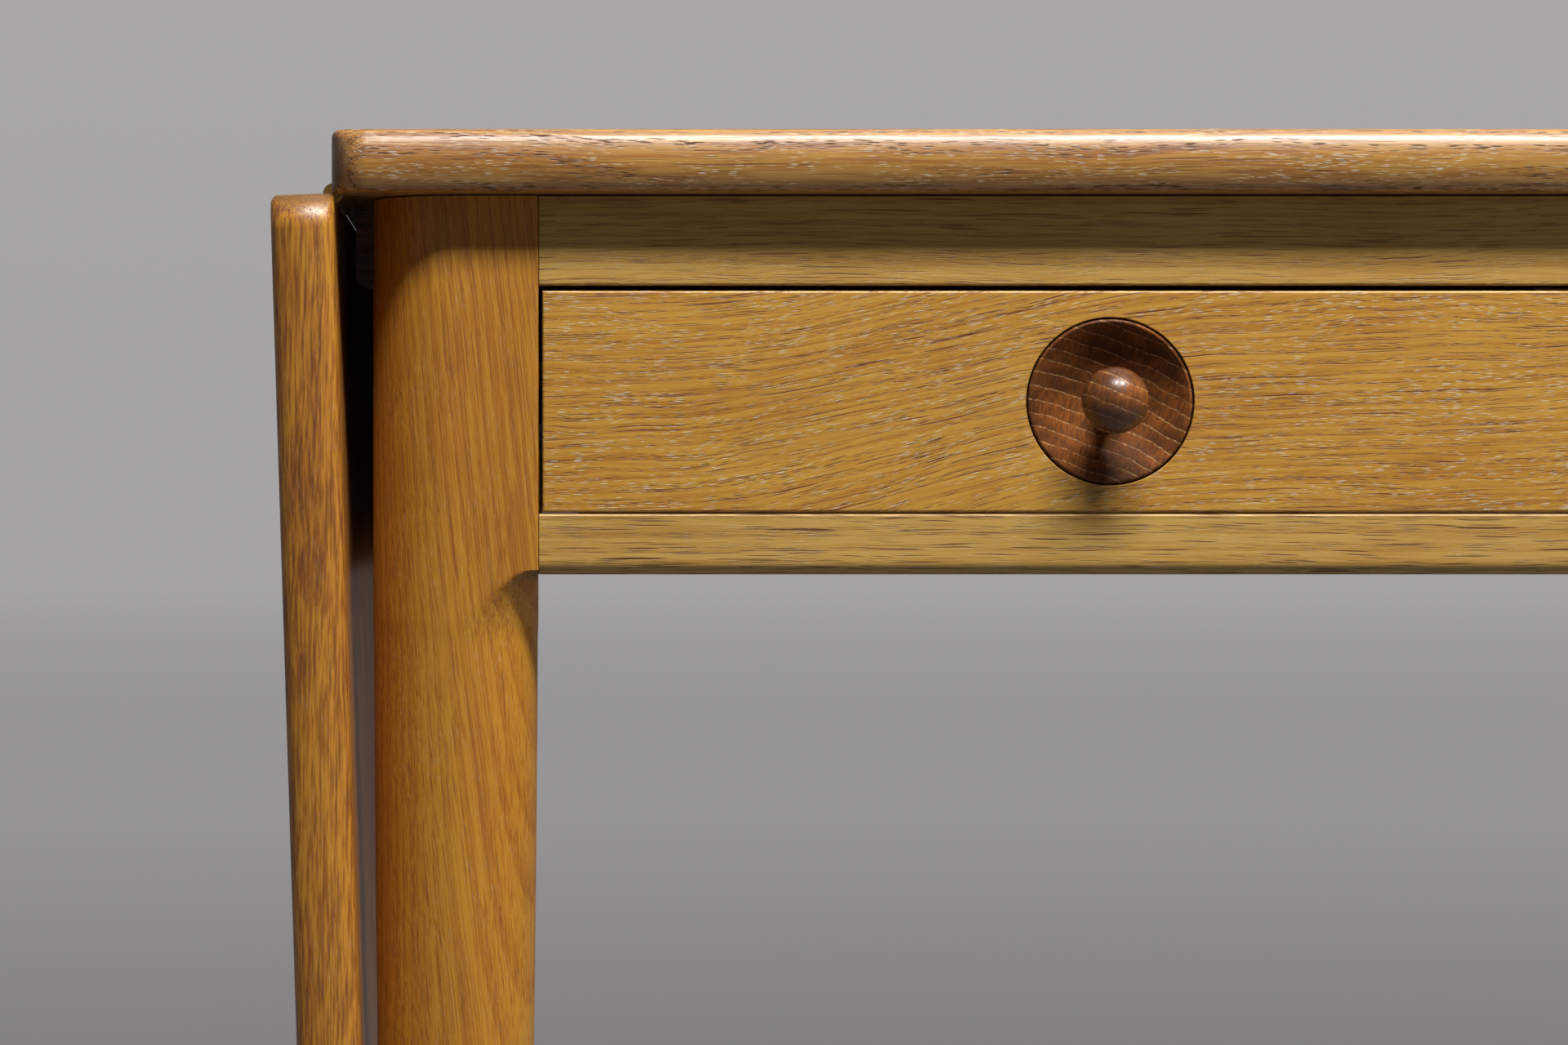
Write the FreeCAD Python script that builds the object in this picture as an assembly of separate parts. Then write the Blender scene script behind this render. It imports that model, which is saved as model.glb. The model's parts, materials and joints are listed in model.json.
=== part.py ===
import FreeCAD, Part
import math
import os

Vector = FreeCAD.Vector

# Desk as a whole. X runs along its length, the front faces -Y, Z is up.
desk_height = 720.0
top_length = 1308.2
top_depth = 740.0
top_thickness = 21.0
front_overhang = 14.0
end_overhang = 12.6
leaf_length = 400.0

# Edge shape of the tabletop and the leaves
edge_top_radius = 5.5
edge_top_angle = 20.0
edge_bottom_radius = 4.0
edge_bottom_angle = 25.0
corner_radius = 12.0
end_top_radius = 2.6
end_bottom_radius = 1.2
arris = 0.8

# Legs: square with one rounded corner beside the rails, turned round below them
leg_width = 55.5
leg_middle_diameter = 48.8
leg_foot_diameter = 38.0
leg_foot_chamfer = 1.5
leg_turning_relief = 0.1
cove_height = 25.0
cove_rise = 1.5

# Rails between the legs
apron_height = 125.5
upper_rail_height = 30.0
upper_rail_thickness = 22.0
lower_rail_height = 20.0
lower_rail_thickness = 30.0
rail_thickness = 20.0
rail_bottom_round = 4.5
divider_thickness = 20.0
inner_side_thickness = 18.0
inner_side_top_drop = 37.0
inner_side_bottom_rise = 3.0

# Tenons and housings
tenon_length = 20.0
tenon_shoulder = 5.0
tenon_clearance = 0.1
tenon_end_clearance = 1.0
divider_tenon_length = 8.0
housing_depth = 6.0

# Drawers
drawer_count = 3
drawer_back_clearance = 92.0
drawer_front_thickness = 22.0
drawer_top_gap = 1.8
drawer_bottom_gap = 0.6
drawer_side_gap = 1.2
drawer_side_thickness = 13.0
drawer_side_drop = 8.0
drawer_back_thickness = 11.0
drawer_back_drop = 6.0
drawer_back_inset = 8.0
drawer_bottom_thickness = 5.0
drawer_bottom_rise = 8.0
panel_groove_depth = 5.0
panel_clearance = 0.1
tail_count = 3
tail_length = 14.0
tail_narrow_share = 0.42
tail_wide_share = 0.66

# Wooden runners that the drawer sides hang on
runner_height = 12.0
runner_reach = 7.2
runner_rise = 30.0
runner_groove_depth = 6.5
runner_top_clearance = 0.3
runner_bottom_clearance = 0.5
runner_stop_clearance = 0.5
runner_groove_start = 20.0
runner_screws_each = 3
runner_screw_length = 15.0
runner_screw_inset = 40.0

# Turned pulls: a dish let into the drawer front, with a ball at its centre
dish_radius = 27.2
dish_gap = 0.5
dish_thickness = 14.0
dish_rim = 1.3
dish_depth = 9.5
knob_radius = 11.0
knob_centre_reach = 12.0
spigot_radius = 5.0
spigot_clearance = 0.05
spigot_length = 20.0

# Pull-out supports for the raised leaves, and their guides
support_height = 26.0
support_width = 24.0
support_inner_clearance = 40.5
support_front_inset = 86.0
support_end_inset = 5.0
support_tip_round = 2.5
support_clearance = 0.2
support_side_clearance = 0.4
guide_wall = 8.0
guide_floor = 6.5
guide_end_gap = 6.0
peg_radius = 4.0
peg_clearance = 0.3
peg_inset = 20.0
peg_projection = 6.0
peg_depth = 16.0
support_travel_share = 0.75
guide_screw_inset = 30.0
guide_screw_length = 45.0

# Brass hinges between the tabletop and each leaf
hinge_length = 63.0
hinge_inset = 20.0
barrel_radius = 3.3
pin_radius = 1.5
pin_clearance = 0.05
pivot_rise = 0.8
pivot_inset = 0.05
leaf_gap = 0.6
leaf_swing = 91.8
knuckle_count = 5
knuckle_gap = 0.3
barrel_clearance = 0.4
plate_width = 30.0
plate_thickness = 1.8
plate_clearance = 0.1
plate_screws_each = 3
plate_screw_pitch = 22.0
plate_screw_offset = 19.0
plate_screw_length = 15.0

# Screws
screw_head_radius = 3.5
screw_shank_radius = 1.75
screw_head_height = 1.5
screw_slot_width = 0.8
screw_slot_depth = 0.7
screw_clearance = 0.05

# Buttons that hold the tabletop down and let it move with the seasons
button_length = 28.0
button_width = 25.0
button_height = 16.0
button_tongue = 7.5
button_tongue_height = 6.0
button_slot_depth = 8.5
button_slot_clearance = 0.3
button_stand_off = 0.3
button_screw_offset = 15.0
button_screw_length = 27.0
side_button_spread = 90.0

overrun = 5.0

# Places that follow from the sizes above
half_length = top_length / 2
knob_past_top = knob_centre_reach + knob_radius - front_overhang
front_y = knob_past_top - (top_depth + knob_past_top) / 2
back_y = front_y + top_depth
middle_y = (front_y + back_y) / 2
under_z = desk_height - top_thickness
apron_z = under_z - apron_height
opening_top_z = under_z - upper_rail_height
opening_bottom_z = apron_z + lower_rail_height
face_y = front_y + front_overhang
rear_face_y = back_y - front_overhang
leg_outer_x = half_length - end_overhang
leg_inner_x = leg_outer_x - leg_width
leg_axis_x = leg_outer_x - leg_width / 2
leg_axis_y = face_y + leg_width / 2
leg_back_y = face_y + leg_width
side_rail_inner_x = leg_outer_x - rail_thickness
back_rail_inner_y = rear_face_y - rail_thickness
opening_width = (2 * leg_inner_x - (drawer_count - 1) * divider_thickness) / drawer_count
drawer_pitch = opening_width + divider_thickness
drawer_half = opening_width / 2 - drawer_side_gap
drawer_low_z = opening_bottom_z + drawer_bottom_gap
drawer_high_z = opening_top_z - drawer_top_gap
side_high_z = drawer_high_z - drawer_side_drop
drawer_inner_y = face_y + drawer_front_thickness
drawer_back_y = back_rail_inner_y - drawer_back_clearance
side_inner_x = drawer_half - drawer_side_thickness
pull_z = (drawer_low_z + drawer_high_z) / 2
runner_low_z = drawer_low_z + runner_rise
runner_front_y = drawer_inner_y + runner_groove_start + runner_stop_clearance
pivot_x = half_length - pivot_inset
pivot_z = under_z + pivot_rise
leaf_start_x = half_length + leaf_gap
support_front_y = front_y + support_front_inset
support_tip_x = half_length - support_end_inset
support_top_z = under_z - support_clearance
support_low_z = support_top_z - support_height
support_inner_x = drawer_pitch / 2 + divider_thickness / 2 + support_inner_clearance
support_travel = support_travel_share * (support_tip_x - support_inner_x)
inner_side_top_z = under_z - inner_side_top_drop

x_axis = Vector(1, 0, 0)
y_axis = Vector(0, 1, 0)
z_axis = Vector(0, 0, 1)
origin = Vector(0, 0, 0)
nodes = {}


def box(x0, x1, y0, y1, z0, z1):
    return Part.makeBox(x1 - x0, y1 - y0, z1 - z0, Vector(x0, y0, z0))


def rod(radius, start, direction, length):
    return Part.makeCylinder(radius, length, start, direction)


def moved(shape, offset):
    copy = shape.copy()
    copy.translate(offset)
    return copy


def fused(shapes):
    return shapes[0].fuse(shapes[1:]).removeSplitter()


def flipped_x(shape):
    return shape.mirror(origin, x_axis)


def flipped_y(shape):
    return shape.mirror(Vector(0, middle_y, 0), y_axis)


def eased(shape, radius, wanted):
    # Rounds the straight edges whose middle passes the test
    edges = [edge for edge in shape.Edges if wanted(edge.CenterOfMass)]
    return shape.makeFillet(radius, edges)


def near(value, target):
    return abs(value - target) < arris / 4


def add_pair(name, right_shape):
    nodes[name + "_right"] = right_shape
    nodes[name + "_left"] = flipped_x(right_shape)


def outline_face(points_or_edges):
    return Part.Face(Part.Wire(points_or_edges))


def line(start, end):
    return Part.LineSegment(start, end).toShape()


def arc_about(centre, radius, start_angle, end_angle, place):
    # Arc in a plane that place() maps from two flat coordinates
    angles = (start_angle, (start_angle + end_angle) / 2, end_angle)
    points = []
    for angle in angles:
        radians = math.radians(angle)
        across = centre[0] + radius * math.cos(radians)
        up = centre[1] + radius * math.sin(radians)
        points.append(place(across, up))
    return Part.Arc(points[0], points[1], points[2]).toShape()


def highest_point(edges):
    points = [vertex.Point for edge in edges for vertex in edge.Vertexes]
    return max(points, key=lambda point: point.z)


def lowest_point(edges):
    points = [vertex.Point for edge in edges for vertex in edge.Vertexes]
    return min(points, key=lambda point: point.z)


# Tabletop and leaf edges
face_radius = (
    (top_thickness
     - edge_top_radius * (1 - math.sin(math.radians(edge_top_angle)))
     - edge_bottom_radius * (1 - math.sin(math.radians(edge_bottom_angle))))
    / (math.sin(math.radians(edge_top_angle)) + math.sin(math.radians(edge_bottom_angle)))
)


def edge_arcs(peak, place):
    # The soft nose: a round top, a long bowed face and a small round below, from top to bottom
    top_centre_z = top_thickness - edge_top_radius
    top_x = peak - face_radius * (1 - math.cos(math.radians(edge_top_angle)))
    top_centre = (top_x - edge_top_radius * math.cos(math.radians(edge_top_angle)), top_centre_z)
    bow_z = top_centre_z + (edge_top_radius - face_radius) * math.sin(math.radians(edge_top_angle))
    bow_centre = (peak - face_radius, bow_z)
    low_x = peak - face_radius * (1 - math.cos(math.radians(edge_bottom_angle)))
    low_centre_x = low_x - edge_bottom_radius * math.cos(math.radians(edge_bottom_angle))
    low_centre = (low_centre_x, edge_bottom_radius)
    return [
        arc_about(top_centre, edge_top_radius, 90.0, edge_top_angle, place),
        arc_about(bow_centre, face_radius, edge_top_angle, -edge_bottom_angle, place),
        arc_about(low_centre, edge_bottom_radius, -edge_bottom_angle, -90.0, place),
    ]


def nosed_both_sides(length):
    # Board along X with the soft nose at front and back
    half = top_depth / 2

    def at_back(across, up):
        return Vector(0, middle_y + across, under_z + up)

    def at_front(across, up):
        return Vector(0, middle_y - across, under_z + up)

    back = edge_arcs(half, at_back)
    front = edge_arcs(half, at_front)
    edges = back + front + [
        line(highest_point(back), highest_point(front)),
        line(lowest_point(back), lowest_point(front)),
    ]
    face = outline_face(Part.__sortEdges__(edges))
    return face.extrude(Vector(length, 0, 0))


def rounded_plan(x0, x1, top_round, bottom_round):
    # Plan outline with round corners, with small rounds along its upper and lower edges
    slab = box(x0, x1, front_y - arris, back_y + arris, under_z, desk_height)
    corners = [edge for edge in slab.Edges if near(edge.CenterOfMass.z, (under_z + desk_height) / 2)]
    slab = slab.makeFillet(corner_radius + arris, corners)
    slab = eased(slab, top_round, lambda centre: near(centre.z, desk_height))
    return eased(slab, bottom_round, lambda centre: near(centre.z, under_z))


def nosed_outer_end():
    # Block along Y whose outer end carries the soft nose, for a raised right leaf
    peak = leaf_start_x + leaf_length

    def place(across, up):
        return Vector(across, front_y - overrun, under_z + up)

    arcs = edge_arcs(peak, place)
    inner_x = leaf_start_x - overrun
    inner_top = Vector(inner_x, front_y - overrun, desk_height)
    inner_low = Vector(inner_x, front_y - overrun, under_z)
    edges = arcs + [
        line(highest_point(arcs), inner_top),
        line(inner_top, inner_low),
        line(inner_low, lowest_point(arcs)),
    ]
    face = outline_face(Part.__sortEdges__(edges))
    return face.extrude(Vector(0, top_depth + 2 * overrun, 0))


# Screws and their holes
def screw(point, direction, length, grow=0.0):
    # Countersunk screw from its head inwards; grow turns it into the cutter for its hole
    head = screw_head_radius + grow
    shank = screw_shank_radius + grow
    tip = length - shank
    outline = Part.makePolygon([
        origin,
        Vector(head, 0, 0),
        Vector(shank, 0, screw_head_height),
        Vector(shank, 0, tip),
        Vector(0, 0, length + grow),
        origin,
    ])
    solid = Part.Face(outline).revolve(origin, z_axis, 360)
    if grow == 0.0:
        slot = box(-head - overrun, head + overrun, -screw_slot_width / 2, screw_slot_width / 2,
                   -overrun, screw_slot_depth)
        solid = solid.cut(slot)
    solid.Placement = FreeCAD.Placement(point, FreeCAD.Rotation(z_axis, direction))
    return solid


def screw_and_hole(point, direction, length):
    return screw(point, direction, length), screw(point, direction, length, screw_clearance)


# Hinges, built on the right with the leaf raised
hinge_centres = (
    front_y + hinge_inset + hinge_length / 2,
    middle_y,
    back_y - hinge_inset - hinge_length / 2,
)
knuckle_length = (hinge_length - (knuckle_count - 1) * knuckle_gap) / knuckle_count


def knuckles(centre_y, radius, odd, spare=0.0):
    # The barrel pieces that belong to one side of a hinge
    pieces = []
    for index in range(knuckle_count):
        if index % 2 == odd:
            start = centre_y - hinge_length / 2 + index * (knuckle_length + knuckle_gap) - spare
            base = Vector(pivot_x, start, pivot_z)
            pieces.append(rod(radius, base, y_axis, knuckle_length + 2 * spare))
    return pieces


def hinge_side(centre_y, direction, odd):
    # One plate with its knuckles, screws and the recess it needs; direction is -1 for the tabletop
    low_y = centre_y - hinge_length / 2
    high_y = centre_y + hinge_length / 2
    outer_x = pivot_x + direction * plate_width
    x0 = min(pivot_x, outer_x)
    x1 = max(pivot_x, outer_x)
    plate = box(x0, x1, low_y, high_y, under_z, under_z + plate_thickness)
    plate = plate.cut(knuckles(centre_y, barrel_radius + knuckle_gap, 1 - odd, knuckle_gap))
    plate = fused([plate] + knuckles(centre_y, barrel_radius, odd))
    bore = rod(pin_radius + pin_clearance, Vector(pivot_x, low_y - overrun, pivot_z), y_axis,
               hinge_length + 2 * overrun)
    plate = plate.cut(bore)
    screws = []
    holes = []
    for index in range(plate_screws_each):
        along = centre_y + (index - (plate_screws_each - 1) / 2) * plate_screw_pitch
        point = Vector(pivot_x + direction * plate_screw_offset, along, under_z)
        body, hole = screw_and_hole(point, z_axis, plate_screw_length)
        screws.append(body)
        holes.append(hole)
    plate = plate.cut(holes)
    recess = box(x0 - plate_clearance, x1 + plate_clearance, low_y - plate_clearance,
                 high_y + plate_clearance, under_z - overrun, under_z + plate_thickness)
    barrel_room = rod(barrel_radius + barrel_clearance,
                      Vector(pivot_x, low_y - barrel_clearance, pivot_z), y_axis,
                      hinge_length + 2 * barrel_clearance)
    return plate, screws, [recess, barrel_room] + holes


def hinge_set(direction, odd):
    plates = []
    screws = []
    cutters = []
    for centre_y in hinge_centres:
        plate, plate_screws, plate_cutters = hinge_side(centre_y, direction, odd)
        plates.append(plate)
        screws += plate_screws
        cutters += plate_cutters
    return plates, screws, cutters


top_plates, top_plate_screws, top_hinge_cutters = hinge_set(-1, 0)
leaf_plates, leaf_plate_screws, leaf_hinge_cutters = hinge_set(1, 1)
hinge_pins = [
    rod(pin_radius, Vector(pivot_x, centre_y - hinge_length / 2, pivot_z), y_axis, hinge_length)
    for centre_y in hinge_centres
]


# Buttons under the tabletop
def placed(shape, x, y, turn):
    copy = shape.copy()
    copy.Placement = FreeCAD.Placement(Vector(x, y, under_z), FreeCAD.Rotation(z_axis, turn))
    return copy


def button_at(x, y, turn):
    # A button whose tongue enters the rail face at x, y; turn points away from that face
    half = button_width / 2
    body = box(button_stand_off, button_length, -half, half, -button_height, 0)
    tongue = box(-button_tongue, button_stand_off, -half, half, -button_height,
                 -button_height + button_tongue_height)
    fixing, hole = screw_and_hole(Vector(button_screw_offset, 0, -button_height), z_axis,
                                  button_screw_length)
    slot = box(-button_slot_depth, overrun, -half - button_slot_clearance, half + button_slot_clearance,
               -button_height - button_slot_clearance,
               -button_height + button_tongue_height + button_slot_clearance)
    button = fused([body, tongue]).cut(hole)
    fixing_placed = fixing.copy()
    hole_placed = hole.copy()
    spin = FreeCAD.Placement(Vector(x, y, under_z), FreeCAD.Rotation(z_axis, turn))
    fixing_placed.Placement = spin.multiply(fixing.Placement)
    hole_placed.Placement = spin.multiply(hole.Placement)
    return placed(button, x, y, turn), fixing_placed, hole_placed, placed(slot, x, y, turn)


drawer_centres = [(index - (drawer_count - 1) / 2) * drawer_pitch for index in range(drawer_count)]
front_buttons = [button_at(x, face_y + upper_rail_thickness, 90) for x in drawer_centres]
back_buttons = [button_at(x, back_rail_inner_y, -90) for x in drawer_centres]
right_buttons = [
    button_at(side_rail_inner_x, middle_y + side * side_button_spread, 180) for side in (-1, 1)
]


# Supports for the raised leaf, on the right; the back one mirrors the front one
def support_parts():
    y0 = support_front_y
    y1 = support_front_y + support_width
    bar = box(support_inner_x, support_tip_x, y0, y1, support_low_z, support_top_z)
    bar = eased(bar, support_tip_round,
                lambda centre: near(centre.x, support_tip_x) and near(centre.y, (y0 + y1) / 2))
    peg_x = support_inner_x + peg_inset
    peg_y = (y0 + y1) / 2
    peg = rod(peg_radius, Vector(peg_x, peg_y, support_low_z - peg_projection), z_axis,
              peg_projection + peg_depth)
    bar = bar.cut(rod(peg_radius + spigot_clearance, Vector(peg_x, peg_y, support_low_z - overrun),
                      z_axis, overrun + peg_depth))
    wall0 = y0 - support_side_clearance - guide_wall
    wall1 = y1 + support_side_clearance + guide_wall
    guide_low = support_low_z - support_clearance - guide_floor
    guide_x0 = support_inner_x - guide_end_gap
    guide = box(guide_x0, side_rail_inner_x, wall0, wall1, guide_low, under_z)
    channel = box(guide_x0 - overrun, side_rail_inner_x + overrun, y0 - support_side_clearance,
                  y1 + support_side_clearance, support_low_z - support_clearance, under_z + overrun)
    slot_radius = peg_radius + peg_clearance
    slot = box(peg_x, peg_x + support_travel, peg_y - slot_radius, peg_y + slot_radius,
               guide_low - overrun, under_z)
    slot_ends = [
        rod(slot_radius, Vector(end_x, peg_y, guide_low - overrun), z_axis, guide_floor + 2 * overrun)
        for end_x in (peg_x, peg_x + support_travel)
    ]
    screws = []
    holes = []
    for x in (guide_x0 + guide_screw_inset, side_rail_inner_x - guide_screw_inset):
        for y in (wall0 + guide_wall / 2, wall1 - guide_wall / 2):
            body, hole = screw_and_hole(Vector(x, y, guide_low), z_axis, guide_screw_length)
            screws.append(body)
            holes.append(hole)
    guide = guide.cut([channel, slot] + slot_ends + holes)
    notch = box(side_rail_inner_x - overrun, leg_outer_x + overrun, y0 - support_side_clearance,
                y1 + support_side_clearance, support_low_z - support_clearance, under_z + overrun)
    return bar, peg, guide, screws, holes, notch


support_bar, support_peg, support_guide, guide_screws, guide_holes, rail_notch = support_parts()
for part_name, shape in (("leaf_support", support_bar), ("support_peg", support_peg)):
    add_pair(part_name + "_front", shape)
    add_pair(part_name + "_back", flipped_y(shape))
right_guides = [support_guide, flipped_y(support_guide)]
nodes["support_guides"] = Part.makeCompound(right_guides + [flipped_x(shape) for shape in right_guides])
right_guide_screws = guide_screws + [flipped_y(shape) for shape in guide_screws]
right_guide_holes = guide_holes + [flipped_y(shape) for shape in guide_holes]

# Tabletop
board = nosed_both_sides(top_length)
board.translate(Vector(-half_length, 0, 0))
top_board = board.common(rounded_plan(-half_length, half_length, end_top_radius, end_bottom_radius))
right_top_cutters = top_hinge_cutters + right_guide_holes + [entry[2] for entry in right_buttons]
top_cutters = right_top_cutters + [flipped_x(shape) for shape in right_top_cutters]
top_cutters += [entry[2] for entry in front_buttons + back_buttons]
nodes["tabletop"] = top_board.cut(top_cutters)

# Leaves, raised, then swung down to hang
leaf_board = nosed_both_sides(leaf_length + 2 * overrun)
leaf_board.translate(Vector(leaf_start_x - overrun, 0, 0))
leaf_plan = rounded_plan(leaf_start_x, leaf_start_x + leaf_length + arris, end_top_radius,
                         end_bottom_radius)
leaf_board = leaf_board.common(leaf_plan).common(nosed_outer_end()).cut(leaf_hinge_cutters)


def hung(shape):
    copy = shape.copy()
    copy.rotate(Vector(pivot_x, 0, pivot_z), y_axis, leaf_swing)
    return copy


add_pair("leaf", hung(leaf_board))
add_pair("hinge_leaf_plates", hung(Part.makeCompound(leaf_plates)))
add_pair("hinge_leaf_screws", hung(Part.makeCompound(leaf_plate_screws)))
add_pair("hinge_pins", hung(Part.makeCompound(hinge_pins)))
add_pair("hinge_top_plates", Part.makeCompound(top_plates))
add_pair("hinge_top_screws", Part.makeCompound(top_plate_screws))


# Rails with their tenons
def tenon_pair(x0, y0, y1, z0, z1, grow):
    # Tenons at both ends of a rail along X; grow turns them into the mortises' cutters
    right = box(x0 - overrun * (grow > 0), x0 + tenon_length + tenon_end_clearance * (grow > 0),
                y0 - grow, y1 + grow, z0 - grow, z1 + grow)
    return [right, flipped_x(right)]


def rail_along_x(y0, y1, z0, z1):
    body = box(-leg_inner_x, leg_inner_x, y0, y1, z0, z1)
    limits = (y0 + tenon_shoulder, y1 - tenon_shoulder, z0 + tenon_shoulder, z1 - tenon_shoulder)
    tenons = tenon_pair(leg_inner_x, *limits, 0.0)
    mortises = tenon_pair(leg_inner_x, *limits, tenon_clearance)
    return body, tenons, mortises


upper_rail, upper_tenons, upper_mortises = rail_along_x(
    face_y, face_y + upper_rail_thickness, opening_top_z, under_z)
lower_rail, lower_tenons, lower_mortises = rail_along_x(
    face_y, face_y + lower_rail_thickness, apron_z, opening_bottom_z)
back_rail, back_tenons, back_mortises = rail_along_x(
    back_rail_inner_y, rear_face_y, apron_z, under_z)

upper_rail = eased(upper_rail, arris, lambda centre: near(centre.z, opening_top_z) and near(centre.x, 0))
lower_rail = eased(lower_rail, arris, lambda centre: near(centre.z, opening_bottom_z) and near(centre.x, 0))
lower_rail, back_rail = [
    eased(rail, rail_bottom_round, lambda centre: near(centre.z, apron_z) and near(centre.x, 0))
    for rail in (lower_rail, back_rail)
]

side_rail = box(side_rail_inner_x, leg_outer_x, leg_back_y, 2 * middle_y - leg_back_y, apron_z, under_z)
side_rail = eased(side_rail, rail_bottom_round,
                  lambda centre: near(centre.z, apron_z) and near(centre.y, middle_y))
side_tenon_limits = (side_rail_inner_x + tenon_shoulder, leg_outer_x - tenon_shoulder,
                     apron_z + tenon_shoulder, under_z - tenon_shoulder)


def side_tenon(grow):
    x0, x1, z0, z1 = side_tenon_limits
    ahead = leg_back_y - tenon_length - tenon_end_clearance * (grow > 0)
    return box(x0 - grow, x1 + grow, ahead, leg_back_y + overrun * (grow > 0), z0 - grow, z1 + grow)


side_rail = fused([side_rail, side_tenon(0.0), flipped_y(side_tenon(0.0))])
side_rail = side_rail.cut([rail_notch, flipped_y(rail_notch)] + [entry[3] for entry in right_buttons])
add_pair("side_rail", side_rail)

# Dividers between the drawers
divider_x = drawer_pitch / 2
divider_front = box(divider_x - divider_thickness / 2, divider_x + divider_thickness / 2,
                    face_y, face_y + lower_rail_thickness, opening_bottom_z, opening_top_z)
divider_rear = box(divider_x - divider_thickness / 2, divider_x + divider_thickness / 2,
                   face_y + lower_rail_thickness, back_rail_inner_y + housing_depth,
                   apron_z + inner_side_bottom_rise, opening_top_z)


def divider_tenons(grow):
    half = divider_thickness / 2 - tenon_shoulder + grow
    y0 = face_y + tenon_shoulder - grow
    y1 = face_y + upper_rail_thickness - tenon_shoulder + grow
    reach = divider_tenon_length + tenon_end_clearance * (grow > 0)
    low = box(divider_x - half, divider_x + half, y0, y1, opening_bottom_z - reach, opening_bottom_z)
    high = box(divider_x - half, divider_x + half, y0, y1, opening_top_z, opening_top_z + reach)
    return [low, high]


divider = fused([divider_front, divider_rear] + divider_tenons(0.0))
divider_mortises = divider_tenons(tenon_clearance)
divider_mortises += [flipped_x(shape) for shape in divider_mortises]
divider_housing = box(divider_x - divider_thickness / 2, divider_x + divider_thickness / 2,
                      back_rail_inner_y - overrun, back_rail_inner_y + housing_depth,
                      apron_z + inner_side_bottom_rise, opening_top_z)

nodes["upper_front_rail"] = fused([upper_rail] + upper_tenons).cut(
    divider_mortises + [entry[3] for entry in front_buttons])
nodes["lower_front_rail"] = fused([lower_rail] + lower_tenons).cut(divider_mortises)
nodes["back_rail"] = fused([back_rail] + back_tenons).cut(
    [divider_housing, flipped_x(divider_housing)] + [entry[3] for entry in back_buttons])

# Inner sides, which carry the outer drawers' runners between the legs
inner_side = box(leg_inner_x, leg_inner_x + inner_side_thickness, leg_back_y - housing_depth,
                 2 * middle_y - leg_back_y + housing_depth, apron_z + inner_side_bottom_rise,
                 inner_side_top_z)


# Legs
def leg_blank():
    # Square section with the outer front corner fully rounded
    radius = leg_width / 2
    outer = leg_outer_x
    inner = leg_inner_x
    rounding = Part.Arc(
        Vector(leg_axis_x, face_y, 0),
        Vector(leg_axis_x + radius * math.sin(math.pi / 4), leg_axis_y - radius * math.cos(math.pi / 4), 0),
        Vector(outer, leg_axis_y, 0),
    ).toShape()
    edges = [
        rounding,
        line(Vector(outer, leg_axis_y, 0), Vector(outer, leg_back_y, 0)),
        line(Vector(outer, leg_back_y, 0), Vector(inner, leg_back_y, 0)),
        line(Vector(inner, leg_back_y, 0), Vector(inner, face_y, 0)),
        line(Vector(inner, face_y, 0), Vector(leg_axis_x, face_y, 0)),
    ]
    return outline_face(edges).extrude(Vector(0, 0, under_z))


def leg_turning():
    # Round tapered shaft, the cove below the rails, and the uncut block above it
    shaft = leg_width / 2 - leg_turning_relief
    foot = leg_foot_diameter / 2
    reach = leg_width / math.sqrt(2)
    block = reach + overrun
    cove_top = apron_z + cove_rise
    cove_low = cove_top - cove_height

    def at(radius, height):
        return Vector(radius, 0, height)

    taper = Part.Arc(at(foot, leg_foot_chamfer), at(leg_middle_diameter / 2, cove_low / 2),
                     at(shaft, cove_low)).toShape()
    ellipse = Part.Ellipse(at(reach, cove_top), at(shaft, cove_low), at(reach, cove_low))
    cove = Part.ArcOfEllipse(ellipse, 0, math.pi / 2).toShape()
    edges = [
        line(at(0, 0), at(foot - leg_foot_chamfer, 0)),
        line(at(foot - leg_foot_chamfer, 0), at(foot, leg_foot_chamfer)),
        taper,
        cove,
        line(at(reach, cove_top), at(block, cove_top)),
        line(at(block, cove_top), at(block, under_z)),
        line(at(block, under_z), at(0, under_z)),
        line(at(0, under_z), at(0, 0)),
    ]
    face = outline_face(Part.__sortEdges__(edges))
    return moved(face.revolve(origin, z_axis, 360), Vector(leg_axis_x, leg_axis_y, 0))


whole_leg = leg_blank().common(leg_turning())
front_leg = whole_leg.cut([upper_mortises[0], lower_mortises[0], side_tenon(tenon_clearance), inner_side])
back_mortise = flipped_y(back_mortises[0])
back_leg = flipped_y(whole_leg.cut([back_mortise, side_tenon(tenon_clearance), inner_side]))
add_pair("front_leg", front_leg)
add_pair("back_leg", back_leg)

# Runners on the dividers and the inner sides
runner_screw_z = runner_low_z + runner_height / 2


def runner_at(wall_x, direction):
    # One runner fixed to a wall at wall_x; direction points into the drawer opening
    x0 = min(wall_x, wall_x + direction * runner_reach)
    batten = box(x0, x0 + runner_reach, runner_front_y, back_rail_inner_y,
                 runner_low_z, runner_low_z + runner_height)
    screws = []
    holes = []
    first = runner_front_y + runner_screw_inset
    last = back_rail_inner_y - runner_screw_inset
    for index in range(runner_screws_each):
        along = first + (last - first) * index / (runner_screws_each - 1)
        point = Vector(wall_x + direction * runner_reach, along, runner_screw_z)
        body, hole = screw_and_hole(point, Vector(-direction, 0, 0), runner_screw_length)
        screws.append(body)
        holes.append(hole)
    return batten.cut(holes), screws, holes


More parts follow.
